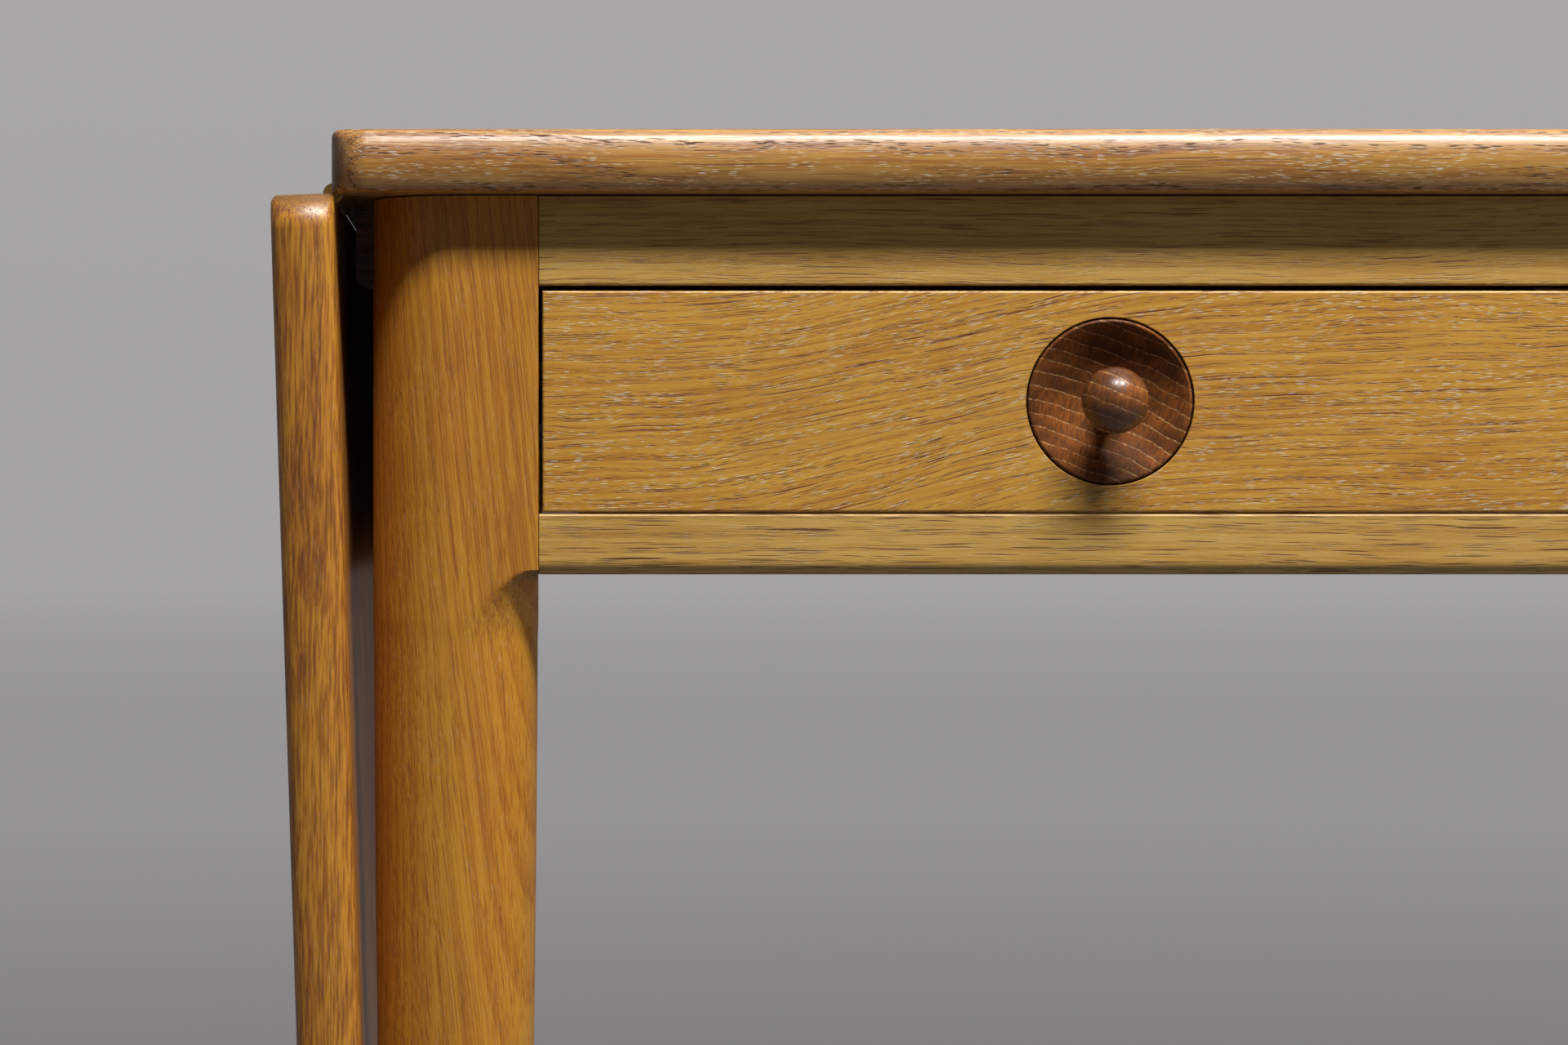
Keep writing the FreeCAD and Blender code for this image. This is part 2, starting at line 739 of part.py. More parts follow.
right_runners = [
    runner_at(leg_inner_x, -1),
    runner_at(divider_x + divider_thickness / 2, 1),
    runner_at(divider_x - divider_thickness / 2, -1),
]
right_battens = [entry[0] for entry in right_runners]
right_runner_screws = [shape for entry in right_runners for shape in entry[1]]
nodes["drawer_runners"] = Part.makeCompound(right_battens + [flipped_x(shape) for shape in right_battens])
nodes["runner_screws"] = Part.makeCompound(
    right_runner_screws + [flipped_x(shape) for shape in right_runner_screws])
add_pair("divider", divider.cut(right_runners[1][2] + right_runners[2][2]))
add_pair("inner_side", inner_side.cut(right_runners[0][2]))
for leg_name in ("front_leg", "back_leg"):
    add_pair(leg_name, nodes[leg_name + "_right"].cut(right_runners[0][2]))

# Buttons and the screws under the tabletop
right_button_parts = [entry[0] for entry in right_buttons]
all_buttons = [entry[0] for entry in front_buttons + back_buttons]
all_buttons += right_button_parts + [flipped_x(shape) for shape in right_button_parts]
nodes["top_buttons"] = Part.makeCompound(all_buttons)
right_fixings = [entry[1] for entry in right_buttons] + right_guide_screws
all_fixings = [entry[1] for entry in front_buttons + back_buttons]
all_fixings += right_fixings + [flipped_x(shape) for shape in right_fixings]
nodes["underside_screws"] = Part.makeCompound(all_fixings)


# Drawers, built about x = 0
def tails():
    # Dovetails of a right-hand side, which lap into the back of the drawer front
    pitch = (side_high_z - drawer_low_z) / tail_count
    start_y = drawer_inner_y - tail_length
    prisms = []
    for index in range(tail_count):
        centre = drawer_low_z + pitch * (index + 1 / 2)
        wide = pitch * tail_wide_share / 2
        narrow = pitch * tail_narrow_share / 2
        outline = Part.makePolygon([
            Vector(side_inner_x, start_y, centre - wide),
            Vector(side_inner_x, start_y, centre + wide),
            Vector(side_inner_x, drawer_inner_y, centre + narrow),
            Vector(side_inner_x, drawer_inner_y, centre - narrow),
            Vector(side_inner_x, start_y, centre - wide),
        ])
        prisms.append(Part.Face(outline).extrude(Vector(drawer_side_thickness, 0, 0)))
    return prisms


def turned(points, arcs_at):
    # Revolves an outline about the pull's axis; each point is radius and reach from the drawer face
    edges = []
    for index, point in enumerate(points):
        following = points[(index + 1) % len(points)]
        start = Vector(point[0], -point[1], 0)
        end = Vector(following[0], -following[1], 0)
        if index in arcs_at:
            middle = Vector(arcs_at[index][0], -arcs_at[index][1], 0)
            edges.append(Part.Arc(start, middle, end).toShape())
        else:
            edges.append(line(start, end))
    solid = outline_face(Part.__sortEdges__(edges)).revolve(origin, y_axis, 360)
    return moved(solid, Vector(0, face_y, pull_z))


hollow_edge = dish_radius - dish_rim
hollow_radius = (hollow_edge ** 2 + dish_depth ** 2) / (2 * dish_depth)


def hollow_depth(radius):
    # Depth of the dish's round hollow at a distance from its centre
    return dish_depth - hollow_radius + math.sqrt(hollow_radius ** 2 - radius ** 2)


bore_radius = spigot_radius + spigot_clearance
dish_points = [
    (bore_radius, -dish_thickness),
    (dish_radius, -dish_thickness),
    (dish_radius, 0),
    (hollow_edge, 0),
    (bore_radius, -hollow_depth(bore_radius)),
]
middle_of_hollow = (hollow_edge + bore_radius) / 2
pull_dish = turned(dish_points, {3: (middle_of_hollow, -hollow_depth(middle_of_hollow))})
neck_reach = knob_centre_reach - math.sqrt(knob_radius ** 2 - spigot_radius ** 2)
knob_points = [
    (0, -spigot_length),
    (spigot_radius, -spigot_length),
    (spigot_radius, neck_reach),
    (0, knob_centre_reach + knob_radius),
]
pull_knob = turned(knob_points, {2: (knob_radius, knob_centre_reach)})

side_tails = tails()
left_tails = [flipped_x(shape) for shape in side_tails]
drawer_front = box(-drawer_half, drawer_half, face_y, drawer_inner_y, drawer_low_z, drawer_high_z)
drawer_front = eased(drawer_front, arris, lambda centre: near(centre.y, face_y))
dish_bore = rod(dish_radius + dish_gap, Vector(0, face_y - overrun, pull_z), y_axis,
                overrun + dish_thickness)
spigot_bore = rod(bore_radius, Vector(0, face_y, pull_z), y_axis, spigot_length)
panel_low_z = drawer_low_z + drawer_bottom_rise
panel_high_z = panel_low_z + drawer_bottom_thickness
panel_half = side_inner_x + panel_groove_depth
groove_room = box(-panel_half - panel_clearance, panel_half + panel_clearance,
                  drawer_inner_y - panel_groove_depth - panel_clearance, drawer_back_y + overrun,
                  panel_low_z - panel_clearance, panel_high_z + panel_clearance)
drawer_front = drawer_front.cut([dish_bore, spigot_bore, groove_room] + side_tails + left_tails)

drawer_panel = box(-panel_half, panel_half, drawer_inner_y - panel_groove_depth, drawer_back_y,
                   panel_low_z, panel_high_z)
back_board_y = drawer_back_y - drawer_back_inset - drawer_back_thickness
back_board = box(-panel_half, panel_half, back_board_y, back_board_y + drawer_back_thickness,
                 panel_high_z, side_high_z - drawer_back_drop)
drawer_middle_y = (drawer_inner_y + drawer_back_y) / 2
right_side = box(side_inner_x, drawer_half, drawer_inner_y, drawer_back_y, drawer_low_z, side_high_z)
right_side = eased(right_side, arris,
                   lambda centre: near(centre.z, side_high_z) and near(centre.y, drawer_middle_y))
runner_room = box(drawer_half - runner_groove_depth, drawer_half + overrun,
                  drawer_inner_y + runner_groove_start, drawer_back_y + overrun,
                  runner_low_z - runner_bottom_clearance,
                  runner_low_z + runner_height + runner_top_clearance)
right_side = fused([right_side] + side_tails).cut([runner_room, groove_room, back_board])
left_side = flipped_x(right_side)

drawer_parts = (
    ("front", drawer_front),
    ("side_right", right_side),
    ("side_left", left_side),
    ("back", back_board),
    ("bottom", drawer_panel),
    ("pull_dish", pull_dish),
    ("pull_knob", pull_knob),
)
for place_name, centre_x in zip(("left", "middle", "right"), drawer_centres):
    for part_name, shape in drawer_parts:
        nodes["drawer_" + place_name + "_" + part_name] = moved(shape, Vector(centre_x, 0, 0))

os.makedirs("parts", exist_ok=True)
for node_name, node_shape in nodes.items():
    node_shape.exportStep("parts/" + node_name + ".step")
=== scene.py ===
import json
import logging
import math
from dataclasses import dataclass, field
from enum import Enum
from typing import Iterable, Sequence

import bmesh
import bpy
from mathutils import Matrix, Vector


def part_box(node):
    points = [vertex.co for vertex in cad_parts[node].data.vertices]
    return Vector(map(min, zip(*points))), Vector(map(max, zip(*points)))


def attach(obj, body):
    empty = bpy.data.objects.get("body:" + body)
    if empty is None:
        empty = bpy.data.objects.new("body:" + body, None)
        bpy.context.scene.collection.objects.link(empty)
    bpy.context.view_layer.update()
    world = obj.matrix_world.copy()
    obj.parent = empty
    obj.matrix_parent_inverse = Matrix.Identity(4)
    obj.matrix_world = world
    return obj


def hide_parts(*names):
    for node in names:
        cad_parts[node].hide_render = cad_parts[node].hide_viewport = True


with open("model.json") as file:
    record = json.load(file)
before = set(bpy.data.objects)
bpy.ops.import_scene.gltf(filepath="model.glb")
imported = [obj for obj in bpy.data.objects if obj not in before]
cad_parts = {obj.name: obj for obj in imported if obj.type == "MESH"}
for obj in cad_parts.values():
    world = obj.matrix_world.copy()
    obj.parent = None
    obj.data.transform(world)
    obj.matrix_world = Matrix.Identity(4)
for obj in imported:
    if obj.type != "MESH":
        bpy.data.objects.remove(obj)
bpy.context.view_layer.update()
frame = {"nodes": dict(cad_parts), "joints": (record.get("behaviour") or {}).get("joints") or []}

log = logging.getLogger("desk")
MM = 0.001
Point = tuple[float, float, float]
Colour = tuple[float, float, float, float]


def srgb(red: int, green: int, blue: int) -> Colour:
    """Turns a screen colour into a linear one.

    Args:
        red, green, blue: screen values from 0 to 255.

    Returns:
        The linear colour with full alpha.
    """
    def linear(value: int) -> float:
        """One channel, by the usual screen curve."""
        share = value / 255
        return share / 12.92 if share <= 0.04045 else ((share + 0.055) / 1.055) ** 2.4

    return linear(red), linear(green), linear(blue), 1.0


def room(node: str) -> tuple[Point, Point]:
    """Lowest and highest corner of a CAD node at rest, in millimetres."""
    low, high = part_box(node)
    return tuple(value / MM for value in low), tuple(value / MM for value in high)


def joint_named(name: str) -> dict:
    """The record of one joint."""
    return next(entry for entry in frame["joints"] if entry["name"] == name)


class Field:
    """A number that changes over a surface; sums on it add Math nodes to its tree."""

    def __init__(self, shader: "Shader", socket: bpy.types.NodeSocket) -> None:
        """Keeps the tree and the socket that gives the number."""
        self.shader = shader
        self.socket = socket

    def _math(self, operation: str, *values: "Field | float") -> "Field":
        """Adds one Math node with this operation on the values."""
        return self.shader.number("ShaderNodeMath", {"operation": operation}, dict(enumerate(values)))

    def __add__(self, other: "Field | float") -> "Field":
        """self + other."""
        return self._math("ADD", self, other)

    __radd__ = __add__

    def __sub__(self, other: "Field | float") -> "Field":
        """self - other."""
        return self._math("SUBTRACT", self, other)

    def __rsub__(self, other: float) -> "Field":
        """other - self."""
        return self._math("SUBTRACT", other, self)

    def __mul__(self, other: "Field | float") -> "Field":
        """self * other."""
        return self._math("MULTIPLY", self, other)

    __rmul__ = __mul__

    def __truediv__(self, other: "Field | float") -> "Field":
        """self / other."""
        return self._math("DIVIDE", self, other)

    def root(self) -> "Field":
        """Square root."""
        return self._math("SQRT", self)

    def wrapped(self) -> "Field":
        """The part after the decimal point."""
        return self._math("FRACT", self)

    def at_most(self, other: "Field | float") -> "Field":
        """The smaller of two."""
        return self._math("MINIMUM", self, other)

    def at_least(self, other: "Field | float") -> "Field":
        """The larger of two."""
        return self._math("MAXIMUM", self, other)

    def eased(self, low: float, high: float) -> "Field":
        """Rises smoothly from 0 at low to 1 at high; falls where low is above high.

        Args:
            low: the value where it starts.
            high: the value where it ends.

        Returns:
            The eased share, 0 to 1.
        """
        flipped = low > high
        first, last = (high, low) if flipped else (low, high)
        ends = (1.0, 0.0) if flipped else (0.0, 1.0)
        return self.shader.number(
            "ShaderNodeMapRange",
            {"interpolation_type": "SMOOTHSTEP"},
            {"Value": self, "From Min": first, "From Max": last, "To Min": ends[0], "To Max": ends[1]},
        )


class Shader:
    """One node tree of a material or a world, with short ways to add nodes."""

    def __init__(self, tree: bpy.types.NodeTree) -> None:
        """Empties the tree and keeps it."""
        tree.nodes.clear()
        self.tree = tree

    def add(self, kind: str, settings: dict | None = None, sockets: dict | None = None) -> bpy.types.Node:
        """Adds a node, sets its options, then its sockets.

        Args:
            kind: the node's type.
            settings: options by name; a colour ramp's stops go under "stops".
            sockets: values, fields or sockets by socket name or number.

        Returns:
            The new node.
        """
        node = self.tree.nodes.new(kind)
        for name, value in (settings or {}).items():
            if name == "stops":
                self._set_stops(node.color_ramp, value)
            else:
                setattr(node, name, value)
        for key, value in (sockets or {}).items():
            target = node.inputs[key]
            source = value.socket if isinstance(value, Field) else value
            if isinstance(source, bpy.types.NodeSocket):
                self.tree.links.new(source, target)
            else:
                target.default_value = source
        return node

    @staticmethod
    def _set_stops(ramp: bpy.types.ColorRamp, stops: Sequence[tuple[float, Colour]]) -> None:
        """Gives a colour ramp its stops, from place and colour.

        Args:
            ramp: the colour ramp.
            stops: place, 0 to 1, and colour of each stop.
        """
        while len(ramp.elements) < len(stops):
            ramp.elements.new(1.0)
        for element, (place, colour) in zip(ramp.elements, stops):
            element.position = place
            element.color = colour

    def number(self, kind: str, settings: dict | None = None, sockets: dict | None = None,
               output: int | str = 0) -> Field:
        """Adds a node and returns one of its outputs as a field."""
        return Field(self, self.add(kind, settings, sockets).outputs[output])

    def vector(self, x: Field | float, y: Field | float, z: Field | float) -> bpy.types.NodeSocket:
        """Joins three numbers into a vector socket."""
        return self.add("ShaderNodeCombineXYZ", {}, {0: x, 1: y, 2: z}).outputs[0]

    def mixed(self, share: Field | float, first: object, second: object,
              mode: str = "MIX") -> bpy.types.NodeSocket:
        """Mixes two colours.

        Args:
            share: how much of the second shows, 0 to 1.
            first: the colour, or the socket of one, below.
            second: the colour, or the socket of one, above.
            mode: the way they mix, as the Mix node names it.

        Returns:
            The mixed colour's socket.
        """
        settings = {"data_type": "RGBA", "blend_type": mode}
        return self.add("ShaderNodeMix", settings, {0: share, 6: first, 7: second}).outputs[2]

    def noise(self, place: bpy.types.NodeSocket, scale: float, detail: float = 2.0,
              roughness: float = 0.5) -> Field:
        """Soft noise about one half at a place."""
        sockets = {"Vector": place, "Scale": scale, "Detail": detail, "Roughness": roughness}
        return self.number("ShaderNodeTexNoise", {}, sockets)

    def cells(self, place: bpy.types.NodeSocket, randomness: float = 1.0) -> Field:
        """Distance to the nearest of randomly placed points, one per unit of place."""
        sockets = {"Vector": place, "Scale": 1.0, "Randomness": randomness}
        return self.number("ShaderNodeTexVoronoi", {}, sockets)

    def bump(self, height: Field, distance: float, strength: float) -> bpy.types.NodeSocket:
        """A normal from a height field; distance is in metres."""
        sockets = {"Strength": strength, "Distance": distance, "Height": height}
        return self.add("ShaderNodeBump", {}, sockets).outputs[0]


class Along(Enum):
    """The way the wood's fibres run in a piece at rest."""

    LENGTH = "X"
    DEPTH = "Y"
    HEIGHT = "Z"


@dataclass(frozen=True)
class LineKind:
    """One size of the thin dark lines in the wood, as shares of the finish's own line size."""

    grow: float
    reach: float
    amount: float
    crispness: float = 0.7


LINE_KINDS = (LineKind(1.0, 0.33, 0.8), LineKind(2.3, 0.2, 1.0))


@dataclass(frozen=True)
class Wood:
    """A solid wood finish: growth rings, streaks, thin dark lines, open pores and pale flecks, the flecks
    being painted highlights where light catches the pores' lips.

    Lengths are millimetres and places are along the fibres, then the two ways across them in the
    order X, Y, Z. The pith is the line in the middle of the tree; lean tilts the fibres against it.
    """

    name: str
    along: Along
    pale: Colour = srgb(196, 150, 70)
    golden: Colour = srgb(174, 124, 50)
    deep: Colour = srgb(128, 78, 30)
    line: Colour = srgb(98, 52, 22)
    pore: Colour = srgb(72, 42, 22)
    # glint: colour of the painted highlight flecks beside the pores
    glint: Colour = srgb(250, 238, 212)
    pith: tuple[float, float] = (70.0, -160.0)
    shift: Point = (0.0, 0.0, 0.0)
    lean: tuple[float, float] = (0.0, 0.0)
    ring: float = 3.2
    ring_strength: float = 0.25
    wave: float = 3.0
    wave_length: float = 90.0
    streak_width: float = 1.3
    streak_length: float = 34.0
    streak_strength: float = 0.6
    line_width: float = 0.75
    line_length: float = 60.0
    line_amount: float = 0.6
    pore_width: float = 0.5
    pore_length: float = 7.0
    pore_amount: float = 0.7
    # strength, width and length of the painted highlight flecks
    glint_amount: float = 0.5
    glint_width: float = 0.42
    glint_length: float = 6.5
    end_grain: float = 0.6
    end_colour: Colour = srgb(92, 60, 28)
    coat: float = 0.5
    roughness: float = 0.36
    coat_roughness: float = 0.36
    bump_depth: float = 0.08
    climb: tuple[float, float, float] | None = None
    golden_range: tuple[float, float] = (-0.05, 0.55)
    deep_range: tuple[float, float] = (0.4, 1.1)
    patch_width: float = 22.0
    patch_length: float = 90.0
    patch_strength: float = 0.9
    shiver_width: float = 12.0
    shiver_length: float = 30.0
    group_width: float = 4.0
    group_length: float = 26.0

    def build(self) -> bpy.types.Material:
        """Makes the material.

        Returns:
            The new material with its node tree.
        """
        material = bpy.data.materials.new(self.name)
        material.use_nodes = True
        shader = Shader(material.node_tree)
        along, first, second = self._fibres(shader)
        streaks = self._streaks(shader, along, first, second)
        lines = self._thin_lines(shader, along, first, second)
        early = self._rings(shader, along, first, second)
        pores, glints = self._pores(shader, along, first, second, early)
        width = self.patch_width
        patches = shader.noise(shader.vector(first / width, second / width, along / self.patch_length), 1.0)
        tone = (streaks * self.streak_strength + (patches - 0.5) * self.patch_strength
                + early * self.ring_strength)
        body = shader.mixed(tone.eased(*self.golden_range), self.pale, self.golden)
        body = shader.mixed(tone.eased(*self.deep_range), body, self.deep)
        body = shader.mixed(lines * self.line_amount, body, self.line)
        # painted highlights: pale flecks where light would catch the pores' lips
        body = shader.mixed(glints * self.glint_amount, body, self.glint)
        body = shader.mixed(pores, body, self.pore)
        body = shader.mixed(self._end_share(shader) * self.end_grain, body, self.end_colour)
        height = streaks * -0.1 - lines * 0.6 - pores + glints * 0.35
        surface = shader.add("ShaderNodeBsdfPrincipled", {}, {
            "Base Color": body,
            "Roughness": pores * 0.4 + lines * 0.2 + streaks * 0.06 + self.roughness,
            "Coat Weight": (1.0 - pores - lines * 0.5).at_least(0.0) * self.coat,
            "Coat Roughness": self.coat_roughness,
            "Normal": shader.bump(height, self.bump_depth * MM, 1.0),
        })
        shader.add("ShaderNodeOutputMaterial", {}, {"Surface": surface.outputs[0]})
        return material

    def _fibres(self, shader: Shader) -> tuple[Field, Field, Field]:
        """Places in millimetres: along the fibres, then the two ways across them.

        Args:
            shader: the material's shader.

        Returns:
            The place along the fibres, then the two places across them.
        """
        spot = shader.add("ShaderNodeTexCoord").outputs["Object"]
        scaled = shader.add("ShaderNodeVectorMath", {"operation": "SCALE"}, {0: spot, "Scale": 1 / MM})
        parts = shader.add("ShaderNodeSeparateXYZ", {}, {0: scaled.outputs[0]})
        x, y, z = (Field(shader, socket) for socket in parts.outputs)
        along, first, second = {
            Along.LENGTH: (x, y, z),
            Along.DEPTH: (y, x, z),
            Along.HEIGHT: (z, x, y),
        }[self.along]
        if self.climb:
            climb_start, climb_end, rise = self.climb
            second = second - along.eased(climb_start, climb_end) * rise
        along = along + self.shift[0]
        first = first + along * self.lean[0] + self.shift[1]
        second = second + along * self.lean[1] + self.shift[2]
        slow = shader.vector(first / self.wave_length, second / self.wave_length,
                             along / (self.wave_length * 2.5))
        bend = shader.noise(slow, 1.0, 3.0) - 0.5
        quick = shader.vector(first / self.shiver_width, second / self.shiver_width,
                              along / self.shiver_length)
        shiver = shader.noise(quick, 1.0, 2.0) - 0.5
        drift = bend * (self.wave * 5) + shiver * (self.wave * 0.5)
        return along, first + drift * 0.6, second + drift

    def _end_share(self, shader: Shader) -> Field:
        """How far the surface is cut across the fibres, 0 on a long side to 1 on an end.

        Args:
            shader: the material's shader.

        Returns:
            The share, 0 to 1.
        """
        facing = shader.add("ShaderNodeTexCoord").outputs["Normal"]
        parts = shader.add("ShaderNodeSeparateXYZ", {}, {0: facing}).outputs
        across = Field(shader, parts["XYZ".index(self.along.value)])
        return (across * across).eased(0.02, 0.7)

    def _rings(self, shader: Shader, along: Field, first: Field, second: Field) -> Field:
        """Earlywood of each growth ring: 1 where the ring starts, fading to 0.

        Args:
            shader: the material's shader.
            along: places along the fibres, in millimetres.
            first, second: places across the fibres, in millimetres.

        Returns:
            The share of earlywood, 0 to 1.
        """
        sideways = first - self.pith[0]
        upwards = second - self.pith[1]
        radius = (sideways * sideways + upwards * upwards).root()
        uneven = shader.noise(shader.vector(radius / 9.0, 0.0, along / 900.0), 1.0, 1.0)
        phase = (radius / self.ring + uneven * 2.4).wrapped()
        return phase.eased(0.0, 0.08) * phase.eased(0.8, 0.1)

    def _streaks(self, shader: Shader, along: Field, first: Field, second: Field) -> Field:
        """Soft darker streaks along the fibres, 0 to 1.

        Args:
            shader: the material's shader.
            along: places along the fibres, in millimetres.
            first, second: places across the fibres, in millimetres.

        Returns:
            The share of the streaks, 0 to 1.
        """
        width = self.streak_width
        place = shader.vector(first / width, second / width, along / self.streak_length)
        return shader.noise(place, 1.0, 3.0, 0.6).eased(0.36, 0.68)

    def _thin_lines(self, shader: Shader, along: Field, first: Field, second: Field) -> Field:
        """Thin dark lines that taper at both ends: many faint ones and a few strong ones, 0 to 1.

        Args:
            shader: the material's shader.
            along: places along the fibres, in millimetres.
            first, second: places across the fibres, in millimetres.

        Returns:
            The share of the lines, 0 to 1.
        """
        lines = None
        for kind in LINE_KINDS:
            width = self.line_width * kind.grow
            place = shader.vector(first / width, second / width, along / (self.line_length * kind.grow))
            cells = shader.add("ShaderNodeTexVoronoi", {}, {"Vector": place, "Scale": 1.0}).outputs
            chosen = Field(shader, cells["Color"]).eased(0.28, 0.52)
            near = Field(shader, cells["Distance"]).eased(kind.reach, kind.reach * kind.crispness)
            drawn = near * chosen * kind.amount
            lines = drawn if lines is None else lines.at_least(drawn)
        return lines

    def _pores(self, shader: Shader, along: Field, first: Field, second: Field,
               early: Field) -> tuple[Field, Field]:
        """Dark open pores, thickest in the earlywood, and pale flecks beside them that are painted
        highlights where light catches the pores' lips.

        Args:
            shader: the material's shader.
            along: places along the fibres, in millimetres.
            first, second: places across the fibres, in millimetres.
            early: the share of earlywood.

        Returns:
            The share of the pores, and the share of the painted highlight flecks.
        """
        width = self.pore_width
        length = self.pore_length
        coarse = shader.cells(shader.vector(first / width, second / width, along / length))
        thin = self.glint_width
        fine = shader.cells(shader.vector(first / thin, second / thin, along / self.glint_length))
        group = shader.noise(shader.vector(first / self.group_width, second / self.group_width,
                                           along / self.group_length), 1.0, 2.0)
        weight = (early * 0.9 + group.eased(0.48, 0.7) * 0.6).at_most(1.0)
        dark = coarse.eased(0.42, 0.22) * weight + fine.eased(0.36, 0.16) * weight * 0.5
        # painted highlight: pale flecks set just beside the fine pores
        beside = shader.vector(first / thin, second / thin - 0.55, along / self.glint_length)
        pale = shader.cells(beside).eased(0.28, 0.2) * group.eased(0.36, 0.6)
        return dark.at_most(1.0) * self.pore_amount, pale


@dataclass(frozen=True)
class RingedTeak:
    """Dark turned wood with thin light ring lines and short fine rays between them.

    Lengths are millimetres. The pith is a line along Y, given by its X and Z from the piece's
    centre, and spread is the distance from one ring line to the next.
    """

    name: str
    centre: Point
    pith: tuple[float, float] = (-46.0, -118.0)
    spread: float = 4.3
    dark: Colour = srgb(72, 42, 24)
    warm: Colour = srgb(154, 90, 40)
    line: Colour = srgb(204, 156, 104)
    roughness: float = 0.34
    shine: float = 0.18
    sway: float = 5.0
    shiver: float = 1.3
    rays_round: float = 150.0
    ray_length: float = 3.6
    ray_amount: float = 0.6
    line_amount: float = 0.75
    bump_depth: float = 0.04

    def build(self) -> bpy.types.Material:
        """Makes the material.

        Returns:
            The new material with its node tree.
        """
        material = bpy.data.materials.new(self.name)
        material.use_nodes = True
        shader = Shader(material.node_tree)
        spot = shader.add("ShaderNodeTexCoord").outputs["Object"]
        scaled = shader.add("ShaderNodeVectorMath", {"operation": "SCALE"}, {0: spot, "Scale": 1 / MM})
        centred = shader.add("ShaderNodeVectorMath", {"operation": "SUBTRACT"},
                             {0: scaled.outputs[0], 1: self.centre})
        parts = shader.add("ShaderNodeSeparateXYZ", {}, {0: centred.outputs[0]})
        x, y, z = (Field(shader, socket) for socket in parts.outputs)
        slow = shader.noise(shader.vector(x / 22.0, y / 60.0, z / 22.0), 1.0, 2.0) - 0.5
        quick = shader.noise(shader.vector(x / 1.4, y / 5.0, z / 1.4), 1.0, 4.0, 0.7) - 0.5
        sideways = x - self.pith[0]
        upwards = z - self.pith[1]
        distance = (sideways * sideways + upwards * upwards).root()
        radius = distance + slow * self.sway + quick * self.shiver
        phase = (radius / self.spread).wrapped()
        gap = shader.noise(shader.vector(x / 1.2, y / 9.0, z / 1.2), 1.0, 2.0).eased(0.34, 0.58)
        ring_line = phase.eased(0.0, 0.04) * phase.eased(0.13, 0.06) * (gap * 0.75 + 0.25)
        turn = shader.number("ShaderNodeMath", {"operation": "ARCTAN2"}, {0: sideways, 1: upwards})
        ray_place = shader.vector(turn * self.rays_round, radius / self.ray_length, y / 3.0)
        rays = shader.noise(ray_place, 1.0, 2.0, 0.6).eased(0.44, 0.6)
        clouds = shader.noise(shader.vector(x / 16.0, y / 30.0, z / 10.0), 1.0, 3.0)
        tone = phase * 0.35 + clouds.eased(0.3, 0.7) * 0.65
        body = shader.mixed(tone, self.dark, self.warm)
        body = shader.mixed(rays * self.ray_amount, body, self.dark)
        body = shader.mixed(ring_line * self.line_amount, body, self.line)
        height = ring_line * -0.8 + rays * -0.25
        surface = shader.add("ShaderNodeBsdfPrincipled", {}, {
            "Base Color": body,
            "Roughness": rays * 0.12 + self.roughness,
            "Specular IOR Level": self.shine,
            "Normal": shader.bump(height, self.bump_depth * MM, 1.0),
        })
        shader.add("ShaderNodeOutputMaterial", {}, {"Surface": surface.outputs[0]})
        return material


@dataclass(frozen=True)
class Metal:
    """Brass or steel with a fine brushed grain and soft stains."""

    name: str
    clean: Colour
    aged: Colour
    roughness: float
    stain_scale: float = 260.0
    brush_scale: Point = (9000.0, 500.0, 9000.0)
    bump_depth: float = 0.01

    def build(self) -> bpy.types.Material:
        """Makes the material.

        Returns:
            The new material with its node tree.
        """
        material = bpy.data.materials.new(self.name)
        material.use_nodes = True
        shader = Shader(material.node_tree)
        spot = shader.add("ShaderNodeTexCoord").outputs["Object"]
        stains = shader.noise(spot, self.stain_scale, 4.0, 0.6).eased(0.42, 0.68)
        stretched = shader.add("ShaderNodeVectorMath", {"operation": "MULTIPLY"},
                               {0: spot, 1: self.brush_scale})
        brushed = shader.noise(stretched.outputs[0], 1.0, 2.0)
        body = shader.mixed(stains * 0.8, self.clean, self.aged)
        surface = shader.add("ShaderNodeBsdfPrincipled", {}, {
            "Base Color": body,
            "Metallic": 1.0,
            "Roughness": stains * 0.2 + brushed * 0.12 + self.roughness,
            "Normal": shader.bump(brushed, self.bump_depth * MM, 0.6),
        })
        shader.add("ShaderNodeOutputMaterial", {}, {"Surface": surface.outputs[0]})
        return material


